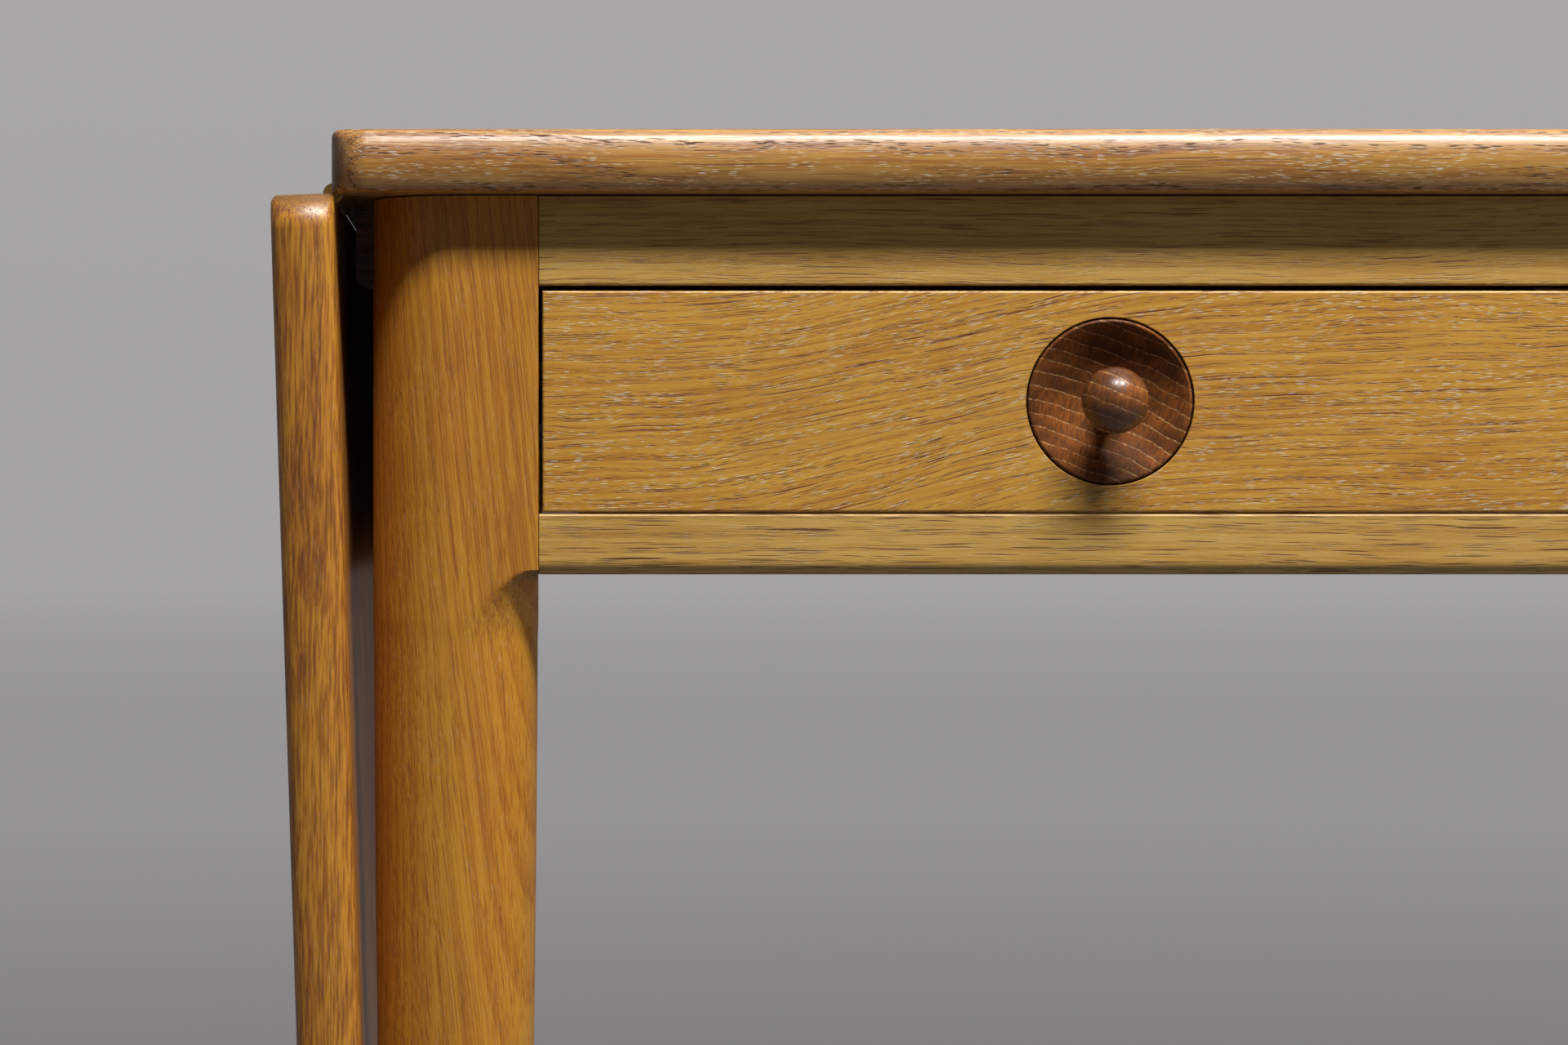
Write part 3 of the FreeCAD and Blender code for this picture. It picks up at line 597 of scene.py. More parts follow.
class Mesh:
    """Collects the points and faces of one piece, in millimetres, and turns them into an object."""

    def __init__(self) -> None:
        """Starts an empty mesh."""
        self.faces = bmesh.new()

    def ring(self, points: Iterable[Point]) -> list[bmesh.types.BMVert]:
        """Adds the points of one closed ring."""
        return [self.faces.verts.new((x * MM, y * MM, z * MM)) for x, y, z in points]

    def bridge(self, first: Sequence[bmesh.types.BMVert], second: Sequence[bmesh.types.BMVert]) -> None:
        """Joins two rings of equal count with four-sided faces.

        Args:
            first: the points of one ring.
            second: the points of the other ring.
        """
        count = len(first)
        for index in range(count):
            following = (index + 1) % count
            self.faces.faces.new((first[index], first[following], second[following], second[index]))

    def cap(self, ring: Sequence[bmesh.types.BMVert]) -> None:
        """Closes a ring with one face."""
        self.faces.faces.new(ring)

    def point(self, ring: Sequence[bmesh.types.BMVert], tip: Point) -> None:
        """Closes a ring with three-sided faces that meet in a tip.

        Args:
            ring: the points of the ring.
            tip: the place of the tip.
        """
        top = self.faces.verts.new(tuple(value * MM for value in tip))
        for index, vertex in enumerate(ring):
            self.faces.faces.new((vertex, ring[(index + 1) % len(ring)], top))

    def loft(self, rings: Sequence[Sequence[Point]], capped: bool = True) -> None:
        """Joins rings in order, and closes the first and last one.

        Args:
            rings: rings of points, each with the same count.
            capped: whether the two ends are closed.
        """
        made = [self.ring(points) for points in rings]
        for first, second in zip(made, made[1:]):
            self.bridge(first, second)
        if capped:
            self.cap(made[0])
            self.cap(made[-1])

    def finish(self, name: str, sharp_degrees: float = 32.0) -> bpy.types.Object:
        """Turns the mesh into an object with smooth shading that keeps its sharp edges.

        Args:
            name: the object's name.
            sharp_degrees: an edge that turns by more than this stays sharp.

        Returns:
            The new object, linked to the scene.
        """
        bmesh.ops.recalc_face_normals(self.faces, faces=self.faces.faces)
        data = bpy.data.meshes.new(name)
        self.faces.to_mesh(data)
        self.faces.free()
        thing = bpy.data.objects.new(name, data)
        bpy.context.scene.collection.objects.link(thing)
        smooth_shaded(thing, sharp_degrees)
        return thing


def smooth_shaded(thing: bpy.types.Object, sharp_degrees: float) -> None:
    """Shades smoothly, with edges sharp past an angle."""
    thing.data.shade_smooth()
    thing.data.set_sharp_from_angle(angle=math.radians(sharp_degrees))


def applied(thing: bpy.types.Object) -> bpy.types.Object:
    """Turns the modifiers of an object into its mesh.

    Args:
        thing: an object with modifiers.

    Returns:
        The same object without modifiers.
    """
    graph = bpy.context.evaluated_depsgraph_get()
    result = bpy.data.meshes.new_from_object(thing.evaluated_get(graph))
    thing.modifiers.clear()
    thing.data = result
    return thing


def cut_by(thing: bpy.types.Object, cutters: Sequence[bpy.types.Object]) -> bpy.types.Object:
    """Cuts an object by others, which are then thrown away.

    Args:
        thing: the object to cut.
        cutters: closed meshes to take out of it.

    Returns:
        The object, with the cuts in its mesh.
    """
    for cutter in cutters:
        difference = thing.modifiers.new("cut", "BOOLEAN")
        difference.operation = "DIFFERENCE"
        difference.solver = "EXACT"
        difference.object = cutter
    applied(thing)
    for cutter in cutters:
        bpy.data.objects.remove(cutter)
    return thing


def even_light(thing: bpy.types.Object, sharp_degrees: float = 32.0) -> bpy.types.Object:
    """Lets large flat faces keep flat shading beside small rounds.

    Args:
        thing: the object to shade.
        sharp_degrees: an edge that turns by more than this stays sharp.

    Returns:
        The same object, with its normals kept in the mesh.
    """
    smooth_shaded(thing, sharp_degrees)
    weighted = thing.modifiers.new("even light", "WEIGHTED_NORMAL")
    weighted.mode = "FACE_AREA"
    weighted.weight = 100
    weighted.keep_sharp = True
    return applied(thing)


def arc(centre: tuple[float, float], radius: float, start: float, end: float,
        steps: int) -> list[tuple[float, float]]:
    """Points on an arc in a plane.

    Args:
        centre: the arc's centre.
        radius: its radius.
        start, end: its angles in degrees.
        steps: how many stretches it has.

    Returns:
        One more point than there are steps.
    """
    points = []
    for index in range(steps + 1):
        angle = math.radians(start + (end - start) * index / steps)
        points.append((centre[0] + radius * math.cos(angle), centre[1] + radius * math.sin(angle)))
    return points


def round_rectangle(low: tuple[float, float], high: tuple[float, float], radii: Sequence[float],
                    inset: float = 0.0, steps: int = 5) -> list[tuple[float, float]]:
    """Outline of a rectangle with its own round at each corner.

    Args:
        low, high: opposite corners.
        radii: rounds at high-high, low-high, low-low and high-low.
        inset: how far the whole outline is drawn in.
        steps: stretches in each round.

    Returns:
        The points, counter-clockwise.
    """
    corners = ((high[0], high[1], -1, -1, 0), (low[0], high[1], 1, -1, 90),
               (low[0], low[1], 1, 1, 180), (high[0], low[1], -1, 1, 270))
    points = []
    for (x, y, across, up, start), radius in zip(corners, radii):
        kept = max(radius, inset + 0.01)
        centre = (x + across * kept, y + up * kept)
        points += arc(centre, kept - inset, start, start + 90, steps)
    return points


def lathe(name: str, profile: Sequence[tuple[float, float]], origin: Point, steps: int = 128,
          sharp_degrees: float = 32.0) -> bpy.types.Object:
    """Turns a profile about an axis that points to the front.

    Args:
        name: the object's name.
        profile: radius and reach towards the front, from one end to the other; an end at radius
            zero closes in a tip.
        origin: where the axis starts.
        steps: points round the axis.
        sharp_degrees: an edge that turns by more than this stays sharp.

    Returns:
        The new object.
    """
    mesh = Mesh()
    rings = []
    for radius, reach in profile:
        if radius > 0:
            circle = arc((origin[0], origin[2]), radius, 0, 360, steps)[:-1]
            rings.append(mesh.ring((x, origin[1] - reach, z) for x, z in circle))
    for first, second in zip(rings, rings[1:]):
        mesh.bridge(first, second)
    for ring, (radius, reach) in ((rings[0], profile[0]), (rings[-1], profile[-1])):
        if radius > 0:
            mesh.cap(ring)
        else:
            mesh.point(ring, (origin[0], origin[1] - reach, origin[2]))
    return mesh.finish(name, sharp_degrees)


def bar(name: str, low: Point, high: Point, along: Along, radii: Sequence[float],
        end_round: float = 0.3) -> bpy.types.Object:
    """A straight bar with its own round along each long edge and eased ends.

    Args:
        name: the object's name.
        low, high: opposite corners of its box.
        along: the way it runs.
        radii: rounds as round_rectangle takes them, on the two other axes in the order X, Y, Z.
        end_round: how far its ends are eased.

    Returns:
        The new object.
    """
    axis = "XYZ".index(along.value)
    others = [index for index in range(3) if index != axis]
    flat_low = tuple(low[index] for index in others)
    flat_high = tuple(high[index] for index in others)

    def ring(place: float, inset: float) -> list[Point]:
        """One section of the bar.

        Args:
            place: where it lies along the bar.
            inset: how far it stays inside the box.

        Returns:
            The points of the section.
        """
        points = []
        for flat in round_rectangle(flat_low, flat_high, radii, inset):
            spot = [0.0, 0.0, 0.0]
            spot[axis] = place
            spot[others[0]], spot[others[1]] = flat
            points.append(tuple(spot))
        return points

    mesh = Mesh()
    mesh.loft([ring(low[axis], end_round), ring(low[axis] + end_round, 0.0),
               ring(high[axis] - end_round, 0.0), ring(high[axis], end_round)])
    return even_light(mesh.finish(name))


def settle(piece: bpy.types.Object, body: str, slot: str, finish: bpy.types.Material,
           *stands_for: str) -> bpy.types.Object:
    """Gives a piece its finish, its body and the CAD nodes that it stands for.

    Args:
        piece: the finished piece.
        body: the body that it moves with.
        slot: the record's material slot; not used.
        finish: its material.
        stands_for: CAD nodes that it replaces.

    Returns:
        The same piece.
    """
    piece.data.materials.clear()
    piece.data.materials.append(finish)
    if stands_for:
        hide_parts(*stands_for)
    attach(piece, body)
    log.info("%s: %d points, rides on %s", piece.name, len(piece.data.vertices), body)
    return piece


@dataclass
class Board:
    """The nose round the tabletop and the leaves, in millimetres."""

    thickness: float
    top_radius: float = 6.5
    top_angle: float = 24.0
    low_radius: float = 4.0
    low_angle: float = 25.0
    corner: float = 12.0
    end_top_radius: float = 2.6
    end_low_radius: float = 1.2
    corner_steps: int = 14

    def nose(self) -> list[tuple[float, float]]:
        """Side view of the nose, as inset and height, from the top face to the lower face.

        Returns:
            The points, as inset and height.
        """
        top = math.radians(self.top_angle)
        low = math.radians(self.low_angle)
        bow = (self.thickness - self.top_radius * (1 - math.sin(top))
               - self.low_radius * (1 - math.sin(low))) / (math.sin(top) + math.sin(low))
        top_x = bow * (1 - math.cos(top)) + self.top_radius * math.cos(top)
        low_x = bow * (1 - math.cos(low)) + self.low_radius * math.cos(low)
        bow_z = self.thickness - self.top_radius + (self.top_radius - bow) * math.sin(top)
        points = arc((-top_x, self.thickness - self.top_radius), self.top_radius, 90, self.top_angle, 8)
        points += arc((-bow, bow_z), bow, self.top_angle, -self.low_angle, 10)[1:]
        points += arc((-low_x, self.low_radius), self.low_radius, -self.low_angle, -90, 8)[1:]
        return [(-x, z) for x, z in points]

    def plain_end(self) -> list[tuple[float, float]]:
        """Side view of the flat end, with as many points as the nose.

        Returns:
            The points, as inset and height.
        """
        top = self.end_top_radius
        low = self.end_low_radius
        points = arc((-top, self.thickness - top), top, 90, 0, 8)
        for step in range(1, 10):
            points.append((0.0, self.thickness - top + (low - self.thickness + top) * step / 10))
        points += arc((-low, low), low, 0, -90, 9)
        return [(-x, z) for x, z in points[:-1]] + [(low, 0.0)]

    def build(self, name: str, low: Point, high: Point, nosed_end: bool) -> bpy.types.Object:
        """Makes a board that lies flat.

        Args:
            name: the object's name.
            low, high: opposite corners of the board.
            nosed_end: whether the high X end has the nose too.

        Returns:
            The new object, without its finish.
        """
        nose = self.nose()
        plain = self.plain_end()
        outline = self._outline(low, high)
        mesh = Mesh()
        rings = []
        for (nose_inset, nose_z), (plain_inset, plain_z) in zip(nose, plain):
            points = []
            for x, y, turn in outline:
                share = abs(math.sin(turn))
                if nosed_end and math.cos(turn) > 0:
                    share = 1.0
                share = share * share * (3 - 2 * share)
                inset = plain_inset + (nose_inset - plain_inset) * share
                height = plain_z + (nose_z - plain_z) * share
                points.append((x - inset * math.cos(turn), y - inset * math.sin(turn), low[2] + height))
            rings.append(points)
        mesh.loft(rings)
        return mesh.finish(name)

    def _outline(self, low: Point, high: Point) -> list[tuple[float, float, float]]:
        """Plan outline, each point with the way it faces.

        Args:
            low, high: opposite corners of the board.

        Returns:
            X, Y and facing angle, in radians, of each point.
        """
        points = []
        corners = ((high[0], high[1], -1, -1, 0), (low[0], high[1], 1, -1, 90),
                   (low[0], low[1], 1, 1, 180), (high[0], low[1], -1, 1, 270))
        for x, y, across, up, start in corners:
            centre = (x + across * self.corner, y + up * self.corner)
            rounded = arc(centre, self.corner, start, start + 90, self.corner_steps)
            for index, (px, py) in enumerate(rounded):
                points.append((px, py, math.radians(start + 90 * index / self.corner_steps)))
        return points


@dataclass
class HingeRoom:
    """The recesses that the hinges need in the tabletop and the leaves, in millimetres."""

    length: float = 63.0
    inset: float = 20.0
    barrel: float = 3.7
    plate_width: float = 30.0
    plate_thickness: float = 1.8
    clearance: float = 0.1
    barrel_clearance: float = 0.4
    overrun: float = 5.0

    def cutters(self, pivot: tuple[float, float], low_y: float, high_y: float, under: float,
                side: int) -> list[bpy.types.Object]:
        """Closed meshes that cut the recesses.

        Args:
            pivot: X and Z of the hinge pins.
            low_y, high_y: the front and back of the board.
            under: height of the board's lower face.
            side: 1 where the board lies on the high X side of the pin, -1 on the other.

        Returns:
            Two cutters for each hinge.
        """
        middles = (low_y + self.inset + self.length / 2, (low_y + high_y) / 2,
                   high_y - self.inset - self.length / 2)
        made = []
        for middle in middles:
            start = middle - self.length / 2
            end = middle + self.length / 2
            near = pivot[0] - side * self.clearance
            far = pivot[0] + side * (self.plate_width + self.clearance)
            flat = Mesh()
            low = (min(near, far), start - self.clearance)
            high = (max(near, far), end + self.clearance)
            corners = ((low[0], low[1]), (high[0], low[1]), (high[0], high[1]), (low[0], high[1]))
            flat.loft([[(x, y, z) for x, y in corners]
                       for z in (under - self.overrun, under + self.plate_thickness)])
            made.append(flat.finish("plate_room"))
            round_room = Mesh()
            circle = arc(pivot, self.barrel, 0, 352.5, 47)
            round_room.loft([[(x, y, z) for x, z in circle]
                             for y in (start - self.barrel_clearance, end + self.barrel_clearance)])
            made.append(round_room.finish("barrel_room"))
        return made


@dataclass
class Top:
    """The tabletop and its two hanging leaves, in millimetres."""

    oak: dict[str, bpy.types.Material]
    leaf_gap: float = 0.6
    leaf_length: float = 400.0
    hinges: HingeRoom = field(default_factory=HingeRoom)

    def __post_init__(self) -> None:
        """Takes the sizes from the tabletop and the right leaf's hinge."""
        low, high = room("tabletop")
        hinge = joint_named("right_leaf_hinge")
        self.end_x = high[0]
        self.front_y = low[1]
        self.back_y = high[1]
        self.under_z = low[2]
        self.board = Board(thickness=high[2] - low[2])
        self.pivot_x = hinge["pos_m"][0] / MM
        self.pivot_z = hinge["pos_m"][2] / MM
        self.leaf_swing = hinge["range_deg"][1]

    def build(self) -> None:
        """Makes the tabletop and both leaves."""
        self._tabletop()
        for side, name in ((1, "right"), (-1, "left")):
            self._leaf(side, name)

    def _tabletop(self) -> None:
        """Makes the tabletop with its hinge recesses."""
        thing = self.board.build("top_board", (-self.end_x, self.front_y, self.under_z),
                                 (self.end_x, self.back_y, self.under_z + self.board.thickness), False)
        cutters = []
        for side in (1, -1):
            cutters += self.hinges.cutters((side * self.pivot_x, self.pivot_z), self.front_y, self.back_y,
                                           self.under_z, -side)
        even_light(cut_by(thing, cutters))
        settle(thing, "frame", "oak", self.oak["top"], "tabletop")

    def _leaf(self, side: int, name: str) -> None:
        """Makes one leaf raised on the right, then swings it down and, on the left, mirrors it.

        Args:
            side: 1 on the right, -1 on the left.
            name: the side's name.
        """
        start = self.end_x + self.leaf_gap
        end = (start + self.leaf_length, self.back_y, self.under_z + self.board.thickness)
        thing = self.board.build(f"{name}_drop_leaf", (start, self.front_y, self.under_z), end, True)
        cut_by(thing, self.hinges.cutters((self.pivot_x, self.pivot_z), self.front_y, self.back_y,
                                          self.under_z, 1))
        pivot = Vector((self.pivot_x * MM, 0.0, self.pivot_z * MM))
        swing = Matrix.Rotation(math.radians(self.leaf_swing), 4, "Y")
        placed = Matrix.Translation(pivot) @ swing @ Matrix.Translation(-pivot)
        if side < 0:
            placed = Matrix.Scale(-1.0, 4, (1.0, 0.0, 0.0)) @ placed
        thing.data.transform(placed)
        if side < 0:
            thing.data.flip_normals()
        even_light(thing)
        settle(thing, f"{name}_leaf", "oak", self.oak[f"{name}_leaf"], f"leaf_{name}")


@dataclass
class Legs:
    """Four legs: square beside the rails, then a hollow cove and a turned, tapering shaft."""

    oak: dict[str, bpy.types.Material]
    middle_radius: float = 24.4
    foot_radius: float = 19.0
    foot_chamfer: float = 1.5
    relief: float = 0.1
    top_gap: float = 0.45
    cove_rise: float = 1.5
    cove_height: float = 25.0
    arris: float = 0.7
    face_points: int = 26
    round_points: int = 48

    def __post_init__(self) -> None:
        """Takes the sizes and places from the CAD legs and the lower rail."""
        low, high = room("front_leg_right")
        self.width = high[0] - low[0]
        self.axis_x = (low[0] + high[0]) / 2
        self.front_axis_y = (low[1] + high[1]) / 2
        back_low, back_high = room("back_leg_right")
        self.back_axis_y = (back_low[1] + back_high[1]) / 2
        self.top_z = high[2] - self.top_gap
        self.cove_top = room("lower_front_rail")[0][2] + self.cove_rise

    def build(self) -> None:
        """Makes the four legs."""
        for row, axis_y, forward in (("front", self.front_axis_y, -1), ("back", self.back_axis_y, 1)):
            for side, name in ((1, "right"), (-1, "left")):
                thing = self._leg(f"{row}_{name}_leg", side, forward, (side * self.axis_x, axis_y))
                settle(thing, "frame", "oak", self.oak[f"{row}_{name}_leg"], f"{row}_leg_{name}")

    def _section(self) -> list[tuple[float, float]]:
        """Square section with its outer front corner fully rounded, about the leg's axis.

        Returns:
            The points, as X and Y from the axis.
        """
        half = self.width / 2
        points = arc((0.0, 0.0), half, 0, 90, self.round_points)[:-1]
        corners = ((-half, half), (-half, -half), (half, -half))
        stops = [(0.0, half)] + list(corners) + [(half, 0.0)]
        for index, (start, end) in enumerate(zip(stops, stops[1:])):
            span = math.dist(start, end)
            ease_in = self.arris if index > 0 else 0.0
            ease_out = self.arris if index < len(stops) - 2 else 0.0
            count = self.face_points if span > half * 1.5 else self.face_points // 2
            for step in range(count + 1):
                along = (ease_in + (span - ease_in - ease_out) * step / count) / span
                points.append(tuple(first + (last - first) * along for first, last in zip(start, end)))
            if ease_out:
                centre = tuple(value - math.copysign(self.arris, value) for value in end)
                turn = 90 + 90 * index
                points += arc(centre, self.arris, turn, turn + 90, 5)[1:-1]
        return points[:-1]

    def _shaft(self, height: float) -> float:
        """Radius of the turned part at a height below the cove.

        Args:
            height: height above the floor.

        Returns:
            The radius.
        """
        low = self.foot_radius
        middle = self.middle_radius
        high = self.width / 2 - self.relief
        reach = self.cove_top - self.cove_height
        place = (height - self.foot_chamfer) / (reach - self.foot_chamfer)
        shares = ((1 - place) * (1 - 2 * place), 4 * place * (1 - place), place * (2 * place - 1))
        return low * shares[0] + middle * shares[1] + high * shares[2]

    def _cove(self, height: float) -> float:
        """Radius of the hollow at a height within the cove.

        Args:
            height: height above the floor.

        Returns:
            The radius.
        """
        outer = self.width / math.sqrt(2)
        shaft = self.width / 2 - self.relief
        up = min((height - self.cove_top + self.cove_height) / self.cove_height, 1.0)
        return outer - (outer - shaft) * math.sqrt(max(1 - up * up, 0.0))

    def _leg(self, name: str, side: int, forward: int, axis: tuple[float, float]) -> bpy.types.Object:
        """Makes one leg.

        Args:
            name: the object's name.
            side: 1 on the right, -1 on the left.
            forward: -1 at the front, 1 at the back.
            axis: X and Y of its axis.

        Returns:
            The new object, without its finish.
        """
        section = self._section()
        cove_low = self.cove_top - self.cove_height
        levels = [(0.0, self.foot_radius - self.foot_chamfer), (self.foot_chamfer, self.foot_radius)]
        for step in range(1, 40):
            height = self.foot_chamfer + (cove_low - self.foot_chamfer) * step / 40
            levels.append((height, self._shaft(height)))
        for step in range(70):
            height = cove_low + self.cove_height * (step / 70) ** 0.8
            levels.append((height, self._cove(height)))
        levels += [(self.cove_top, self.width), (self.top_z, self.width)]
        rings = []
        for height, radius in levels:
            points = []
            for x, y in section:
                own = math.hypot(x, y)
                near = self._softer(own, radius) / own
                points.append((axis[0] + side * x * near, axis[1] + forward * y * near, height))
            rings.append(points)
        mesh = Mesh()
        mesh.loft(rings)
        return even_light(mesh.finish(name, 38.0), 38.0)

    def _softer(self, first: float, second: float) -> float:
        """The smaller of two radii, with the edge between them eased.

        Args:
            first: one radius.
            second: the other radius.

        Returns:
            The eased radius.
        """
        reach = self.arris
        blend = max(reach - abs(first - second), 0.0) / reach
        return min(first, second) - blend * blend * reach * 0.25


@dataclass
class FrontRails:
    """The two rails across the front, in millimetres."""

    oak: dict[str, bpy.types.Material]
    arris: float = 0.8
    top_arris: float = 0.45
    top_gap: float = 0.45
    bottom_round: float = 4.5

    def build(self) -> None:
        """Makes both rails."""
        self._rail("upper_rail", "upper_front_rail", self.top_arris, self.arris, self.top_gap)
        self._rail("lower_rail", "lower_front_rail", self.arris, self.bottom_round, 0.0)

    def _rail(self, name: str, node: str, above: float, below: float, gap: float) -> None:
        """Makes one rail, up to the legs.

        Args:
            name: the piece's name.
            node: the CAD rail that it stands for.
            above, below: rounds of its upper and lower edges.
            gap: how far it stays below its CAD rail, for a shadow line.
        """
        low, high = room(node)
        end_x = room("front_leg_right")[0][0]
        rail = bar(name, (-end_x, low[1], low[2]), (end_x, high[1], high[2] - gap), Along.LENGTH,
                   (above, above, below, below))
        settle(rail, "frame", "oak", self.oak[name], node)


@dataclass
class Drawer:
    """One drawer front with its turned pull, in millimetres; its box stays the CAD one."""

    name: str
    plank_place: float
    edge: float = 0.9
    tail_count: int = 3
    tail_length: float = 14.0
    tail_narrow_share: float = 0.42
    tail_wide_share: float = 0.66
    dish_gap: float = 0.5
    dish_rim: float = 1.3
    dish_depth: float = 9.5
    dish_ease: float = 0.75
    seat_ease: float = 0.4
    spigot_radius: float = 5.0
    neck_clearance: float = 0.05
    neck_cove: float = 2.4
    neck_depth: float = 6.0
    climb_start: float = 150.0
    climb_end: float = 40.0
    climb_rise: float = 27.0
    overrun: float = 1.0

    def __post_init__(self) -> None:
        """Takes the sizes and places from the CAD drawer, and makes its finishes."""
        low, high = room(f"drawer_{self.name}_front")
        self.centre_x = (low[0] + high[0]) / 2
        self.half_width = (high[0] - low[0]) / 2
        self.face_y = low[1]
        self.thickness = high[1] - low[1]
        self.low_z = low[2]
        self.high_z = high[2]
        self.pull_z = (low[2] + high[2]) / 2
        side_low, side_high = room(f"drawer_{self.name}_side_left")
        self.side_high_z = side_high[2]
        self.side_thickness = side_high[0] - side_low[0]
        dish_low, dish_high = room(f"drawer_{self.name}_pull_dish")
        self.dish_radius = (dish_high[0] - dish_low[0]) / 2
        self.dish_thickness = dish_high[1] - dish_low[1]
        knob_low, knob_high = room(f"drawer_{self.name}_pull_knob")
        self.knob_radius = (knob_high[0] - knob_low[0]) / 2
        self.knob_reach = self.face_y - knob_low[1] - self.knob_radius
        centre = (self.centre_x, self.face_y, self.pull_z)
        self.oak = self._oak()
        self.dish_finish = RingedTeak(f"teak_{self.name}_dish", centre).build()
        self.knob_finish = RingedTeak(f"teak_{self.name}_ball", centre, roughness=0.26, shine=0.5).build()

    def _oak(self) -> bpy.types.Material:
        """Oak whose fibres climb towards the pull and run level beyond it.

        Returns:
            The new material.
        """
        climb = (self.centre_x - self.climb_start, self.centre_x + self.climb_end, self.climb_rise)
        return Wood(f"oak_{self.name}_drawer", Along.LENGTH, pale=srgb(208, 156, 62),
                    golden=srgb(188, 130, 42), deep=srgb(148, 88, 26), pore_length=5.0,
                    line_width=0.6, streak_strength=0.45,
                    pore=srgb(92, 46, 16), line=srgb(104, 46, 10),
                    shift=(self.plank_place, 340.0, -600.0 + self.plank_place * 0.02), lean=(0.0, -0.03),
                    climb=climb, wave=3.6, wave_length=70.0, line_amount=1.0, glint_amount=0.65,
                    streak_width=1.0).build()

    def build(self) -> None:
        """Makes the front, the dish and the ball."""
        body = f"{self.name}_drawer"
        front = cut_by(self._front(), self._tail_cutters())
        even_light(front)
        settle(front, body, "oak", self.oak, f"drawer_{self.name}_front")
        centre = (self.centre_x, self.face_y, self.pull_z)
        dish = lathe(f"{self.name}_pull_dish", self._dish_profile(), centre, 160)
        settle(dish, body, "teak", self.dish_finish, f"drawer_{self.name}_pull_dish")
        knob = lathe(f"{self.name}_pull_ball", self._knob_profile(), centre, 96)
        settle(knob, body, "teak", self.knob_finish, f"drawer_{self.name}_pull_knob")

    def _front(self) -> bpy.types.Object:
        """The front board with its eased edges and the round seat of the dish.

        Returns:
            The new object, without its finish.
        """
        hole = self.dish_radius + self.dish_gap
        half_height = (self.high_z - self.low_z) / 2
        corner = math.atan2(half_height, self.half_width)
        turns = []
        stops = (-corner, corner, math.pi - corner, math.pi + corner, 2 * math.pi - corner)
        counts = (12, 60, 12, 60)
        for start, end, count in zip(stops, stops[1:], counts):
            turns += [start + (end - start) * step / count for step in range(count)]

        def rim(inset: float, depth: float) -> list[Point]:
            """A ring on the board's edge.

            Args:
                inset: how far it stays inside the board's edge.
                depth: how far it lies behind the face.

            Returns:
                The points of the ring.
            """
            wide = self.half_width - inset
            tall = half_height - inset
            points = []
            for turn in turns:
                grow = min(self.half_width / max(abs(math.cos(turn)), 1e-9),
                           half_height / max(abs(math.sin(turn)), 1e-9))
                x = max(-wide, min(wide, grow * math.cos(turn)))
                z = max(-tall, min(tall, grow * math.sin(turn)))
                points.append((self.centre_x + x, self.face_y + depth, self.pull_z + z))
            return points

        def circle(radius: float, depth: float) -> list[Point]:
            """A ring round the pull's axis."""
            return [(self.centre_x + radius * math.cos(turn), self.face_y + depth,
                     self.pull_z + radius * math.sin(turn)) for turn in turns]

        rings = [circle(hole, self.dish_thickness)]
        ease = self.seat_ease
        for step in range(5):
            angle = math.radians(90 * step / 4)
            rings.append(circle(hole + ease * (1 - math.cos(angle)), ease * (1 - math.sin(angle))))
        for step in range(6):
            angle = math.radians(90 * step / 5)
            rings.append(rim(self.edge * (1 - math.sin(angle)), self.edge * (1 - math.cos(angle))))
        rings.append(rim(0.0, self.thickness))
        mesh = Mesh()
        mesh.loft(rings)
        return mesh.finish(f"{self.name}_drawer_front")

    def _tail_cutters(self) -> list[bpy.types.Object]:
        """Closed meshes that cut the sockets of the dovetails.

        Returns:
            The meshes, three for each side.
        """
        pitch = (self.side_high_z - self.low_z) / self.tail_count
        start_y = self.face_y + self.thickness - self.tail_length
        end_y = self.face_y + self.thickness + self.overrun
        made = []
        for side in (-1, 1):
            for index in range(self.tail_count):
                middle = self.low_z + pitch * (index + 0.5)
                wide = pitch * self.tail_wide_share / 2
                narrow = pitch * self.tail_narrow_share / 2
                near = self.centre_x + side * (self.half_width - self.side_thickness)
                far = self.centre_x + side * (self.half_width + self.overrun)
                mesh = Mesh()
                mesh.loft([[(x, start_y, middle - wide), (x, start_y, middle + wide),
                            (x, end_y, middle + narrow), (x, end_y, middle - narrow)] for x in (near, far)])
                made.append(mesh.finish("tail_room"))
        return made

    def _dish_profile(self) -> list[tuple[float, float]]:
        """Radius and reach of the dish, from its back to the middle of its hollow.

        Returns:
            The points, as radius and reach in front of the face.
        """
        edge = self.dish_radius - self.dish_rim
        hollow = (edge ** 2 + self.dish_depth ** 2) / (2 * self.dish_depth)
        points = [(self.spigot_radius, -self.dish_thickness), (self.dish_radius, -self.dish_thickness)]
        ease = self.dish_ease
        points += arc((self.dish_radius - ease, -ease), ease, 0, 90, 8)
        points += arc((edge + ease * 0.6, -ease * 0.6), ease * 0.6, 90, 150, 5)[1:]
        for step in range(1, 33):
            radius = edge + (self.spigot_radius - edge) * step / 32
            depth = self.dish_depth - hollow + math.sqrt(hollow ** 2 - radius ** 2)
            points.append((radius, -depth))
        return points

